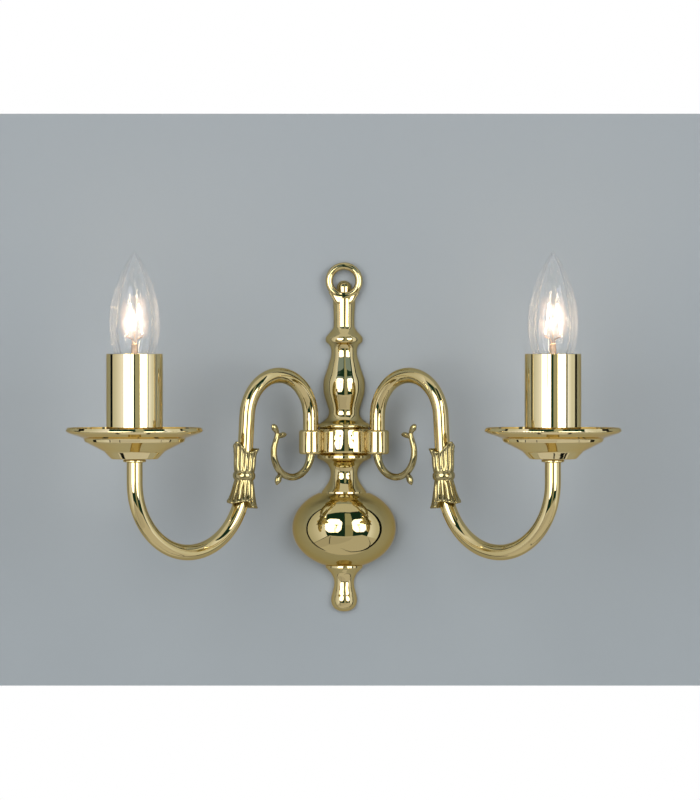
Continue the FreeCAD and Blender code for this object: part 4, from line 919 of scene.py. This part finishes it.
def build_room():
    """Cards that stand where the studio's walls and floor do, seen only in the brass and glass."""
    tones = {name: plain_glow("room_" + name, tone) for name, tone in ROOM_TONES.items()}
    tones["left_cream"] = side_wall_finish("room_left_cream", LEFT_BACK, LEFT_FRONT, -0.2, -1.75)
    tones["right_cream"] = side_wall_finish("room_right_cream", RIGHT_BACK, RIGHT_FRONT, -0.55, -1.35)
    tones["haze"] = one_sided_glow("room_haze", HAZE)
    left, right, back, front, floor, roof = -3.8, 4.6, -2.8, 0.3, -1.3, 5.1
    near, lift, wall_x = back + 0.02, floor + 0.01, 2.5
    room = [
        ("back", strip((left, back), (right, back), floor, 5.5), "teal"),
        ("panel_high", strip((0.10, near), (1.03, near), 0.8, 4.3), "slate"),
        ("panel_low", strip((0.10, near), (1.03, near), floor, 0.8), "low_slate"),
        ("left", [(-1.93, -2.42, floor), (-1.62, front, floor), (-2.07, front, roof),
                  (-2.1, -1.66, roof), (-2.1, -1.66, 3.1)], "left_cream"),
        ("right_dark", [(wall_x, back, floor), (wall_x, -1.74, floor), (wall_x, -1.0, roof),
                        (wall_x, back, roof)], "teal"),
        ("right", [(wall_x, -1.74, floor), (wall_x, front, floor), (wall_x, front, roof),
                   (wall_x, -1.0, roof)], "right_cream"),
        ("flag_right", strip((0.51, 0.004), (0.436, -0.057), -1.1, 1.0), "black"),
        ("flag_left", strip((-0.50, 0.004), (-0.68, -0.045), -1.1, 1.0), "black"),
        ("floor", level(floor, (-1.8, back), (wall_x, back), (wall_x, front), (-1.6, front)),
         "floor_cream"),
        ("floor_sheet", level(lift, (-1.6, 0.03), (-1.53, -2.40), (0.89, -2.21), (0.28, -1.45),
                              (-0.73, -0.67), (-1.12, 0.12)), "floor_shade"),
        ("floor_crack", level(lift + 0.01, (-1.56, -2.40), (-1.48, -2.40), (-0.75, -0.80),
                              (-0.81, -0.82)), "black"),
        ("floor_edge", level(lift, (-0.16, -0.57), (0.24, -0.19), (0.95, 0.0), (1.34, -0.30),
                             (2.45, -1.60), (1.40, -0.28), (0.95, 0.09), (0.22, -0.14)), "black"),
        ("roof", level(roof, (left, back), (1.0, back), (right, -0.65), (right, front), (left, front)),
         "roof_cream"),
    ]
    room += [("haze_" + name, haze_corners(*ends), "haze") for name, ends in HAZE_BEARINGS.items()]
    for name, corners, tone in room:
        reflection_only(sheet_of("room_" + name, corners, tones[tone]))
    build_softboxes(tones["black"])


def build_softboxes(black):
    """The softboxes as the brass shows them, each with the dark lamp head, stem and pole in front."""
    white = softbox_finish()
    for name, (centre, half_width, half_height, head_aside, pole_aside) in SOFTBOXES.items():
        facing_card("softbox_" + name, centre, BALL, half_width, half_height, white, SOFTBOX_CUT)
        nearer = centre + (BALL - centre) * 0.03
        across = (BALL - centre).cross(Vector((0, 0, 1))).normalized()
        marks = (("head", head_aside, 0.08, 0.10, 0.05), ("stem", head_aside, -0.10, 0.02, 0.15),
                 ("pole", pole_aside, -0.42, 0.022, 0.26))
        for mark, aside, up, wide, tall in marks:
            place = nearer + across * aside + Vector((0, 0, up))
            facing_card("lamp_" + mark + "_" + name, place, BALL, wide, tall, black)


def area_lamp(name, place, target, width, height, power, colour, glossy=False):
    """A soft rectangular lamp aimed at a point."""
    lamp = bpy.data.lights.new(name, "AREA")
    lamp.shape = "RECTANGLE"
    lamp.size = width
    lamp.size_y = height
    lamp.energy = power
    lamp.color = colour
    holder = put(name, lamp)
    holder.location = place
    holder.rotation_euler = (target - place).to_track_quat("-Z", "Y").to_euler()
    holder.visible_camera = False
    holder.visible_glossy = glossy
    holder.visible_transmission = False


def build_lamps():
    """The two softboxes as lamps, and a weak lamp behind for the back of the fixture."""
    middle = Vector((0.0, -0.05, 0.05))
    daylight = (1.0, 0.995, 0.98)
    area_lamp("lamp_left", Vector((-0.63, -1.42, 0.36)), middle, 1.0, 1.5, 13.0, daylight)
    area_lamp("lamp_right", Vector((1.02, -1.45, 0.42)), middle, 1.0, 1.6, 14.0, daylight)
    area_lamp("lamp_behind", Vector((0.4, 1.3, 0.6)), middle, 1.2, 1.2, 10.0, (1.0, 1.0, 1.0), True)


def build_filament_lamps():
    """A small warm lamp at each filament, for what it throws on the wires, the glass and the cover's edge."""
    for side, way in SIDES.items():
        lamp = bpy.data.lights.new("filament_lamp_" + side, "POINT")
        lamp.shadow_soft_size = 0.006
        lamp.energy = 0.09
        lamp.color = (1.0, 0.72, 0.46)
        holder = put("filament_lamp_" + side, lamp)
        holder.location = (way * CANDLE.x, CANDLE.y, (GLOW_LOW + GLOW_HIGH) / 2)
        holder.visible_camera = False
        holder.visible_glossy = False


def build_world():
    """Plain white to the camera, an even fill for matt surfaces, and dark to the mirrors."""
    world = bpy.data.worlds.new("studio")
    bpy.context.scene.world = world
    paint = Paint(world)
    fill = paint.blend(paint.ray("Is Glossy Ray"), (0.12, 0.131, 0.146, 1.0), (0.03, 0.03, 0.03, 1.0))
    open_view = paint.maths("MAXIMUM", paint.ray("Is Camera Ray"), paint.ray("Is Transmission Ray"))
    colour = paint.blend(open_view, fill, WHITE)
    sky = paint.node("ShaderNodeBackground", None, {"Color": colour, "Strength": 1.0}).outputs[0]
    paint.node("ShaderNodeOutputWorld", None, {"Surface": sky})


def build_camera():
    """Long lens, square to the wall, as the photograph was taken."""
    data = bpy.data.cameras.new("camera")
    data.lens = LENS
    data.sensor_width = 36.0
    camera = put("camera", data)
    camera.location = EYE
    camera.rotation_euler = (math.radians(90) - TILT, 0.0, 0.0)
    bpy.context.scene.camera = camera


dress_frame()
build_castings()
build_wall()
build_room()
build_lamps()
build_filament_lamps()
build_world()
build_camera()
bpy.context.scene.view_settings.view_transform = "Standard"
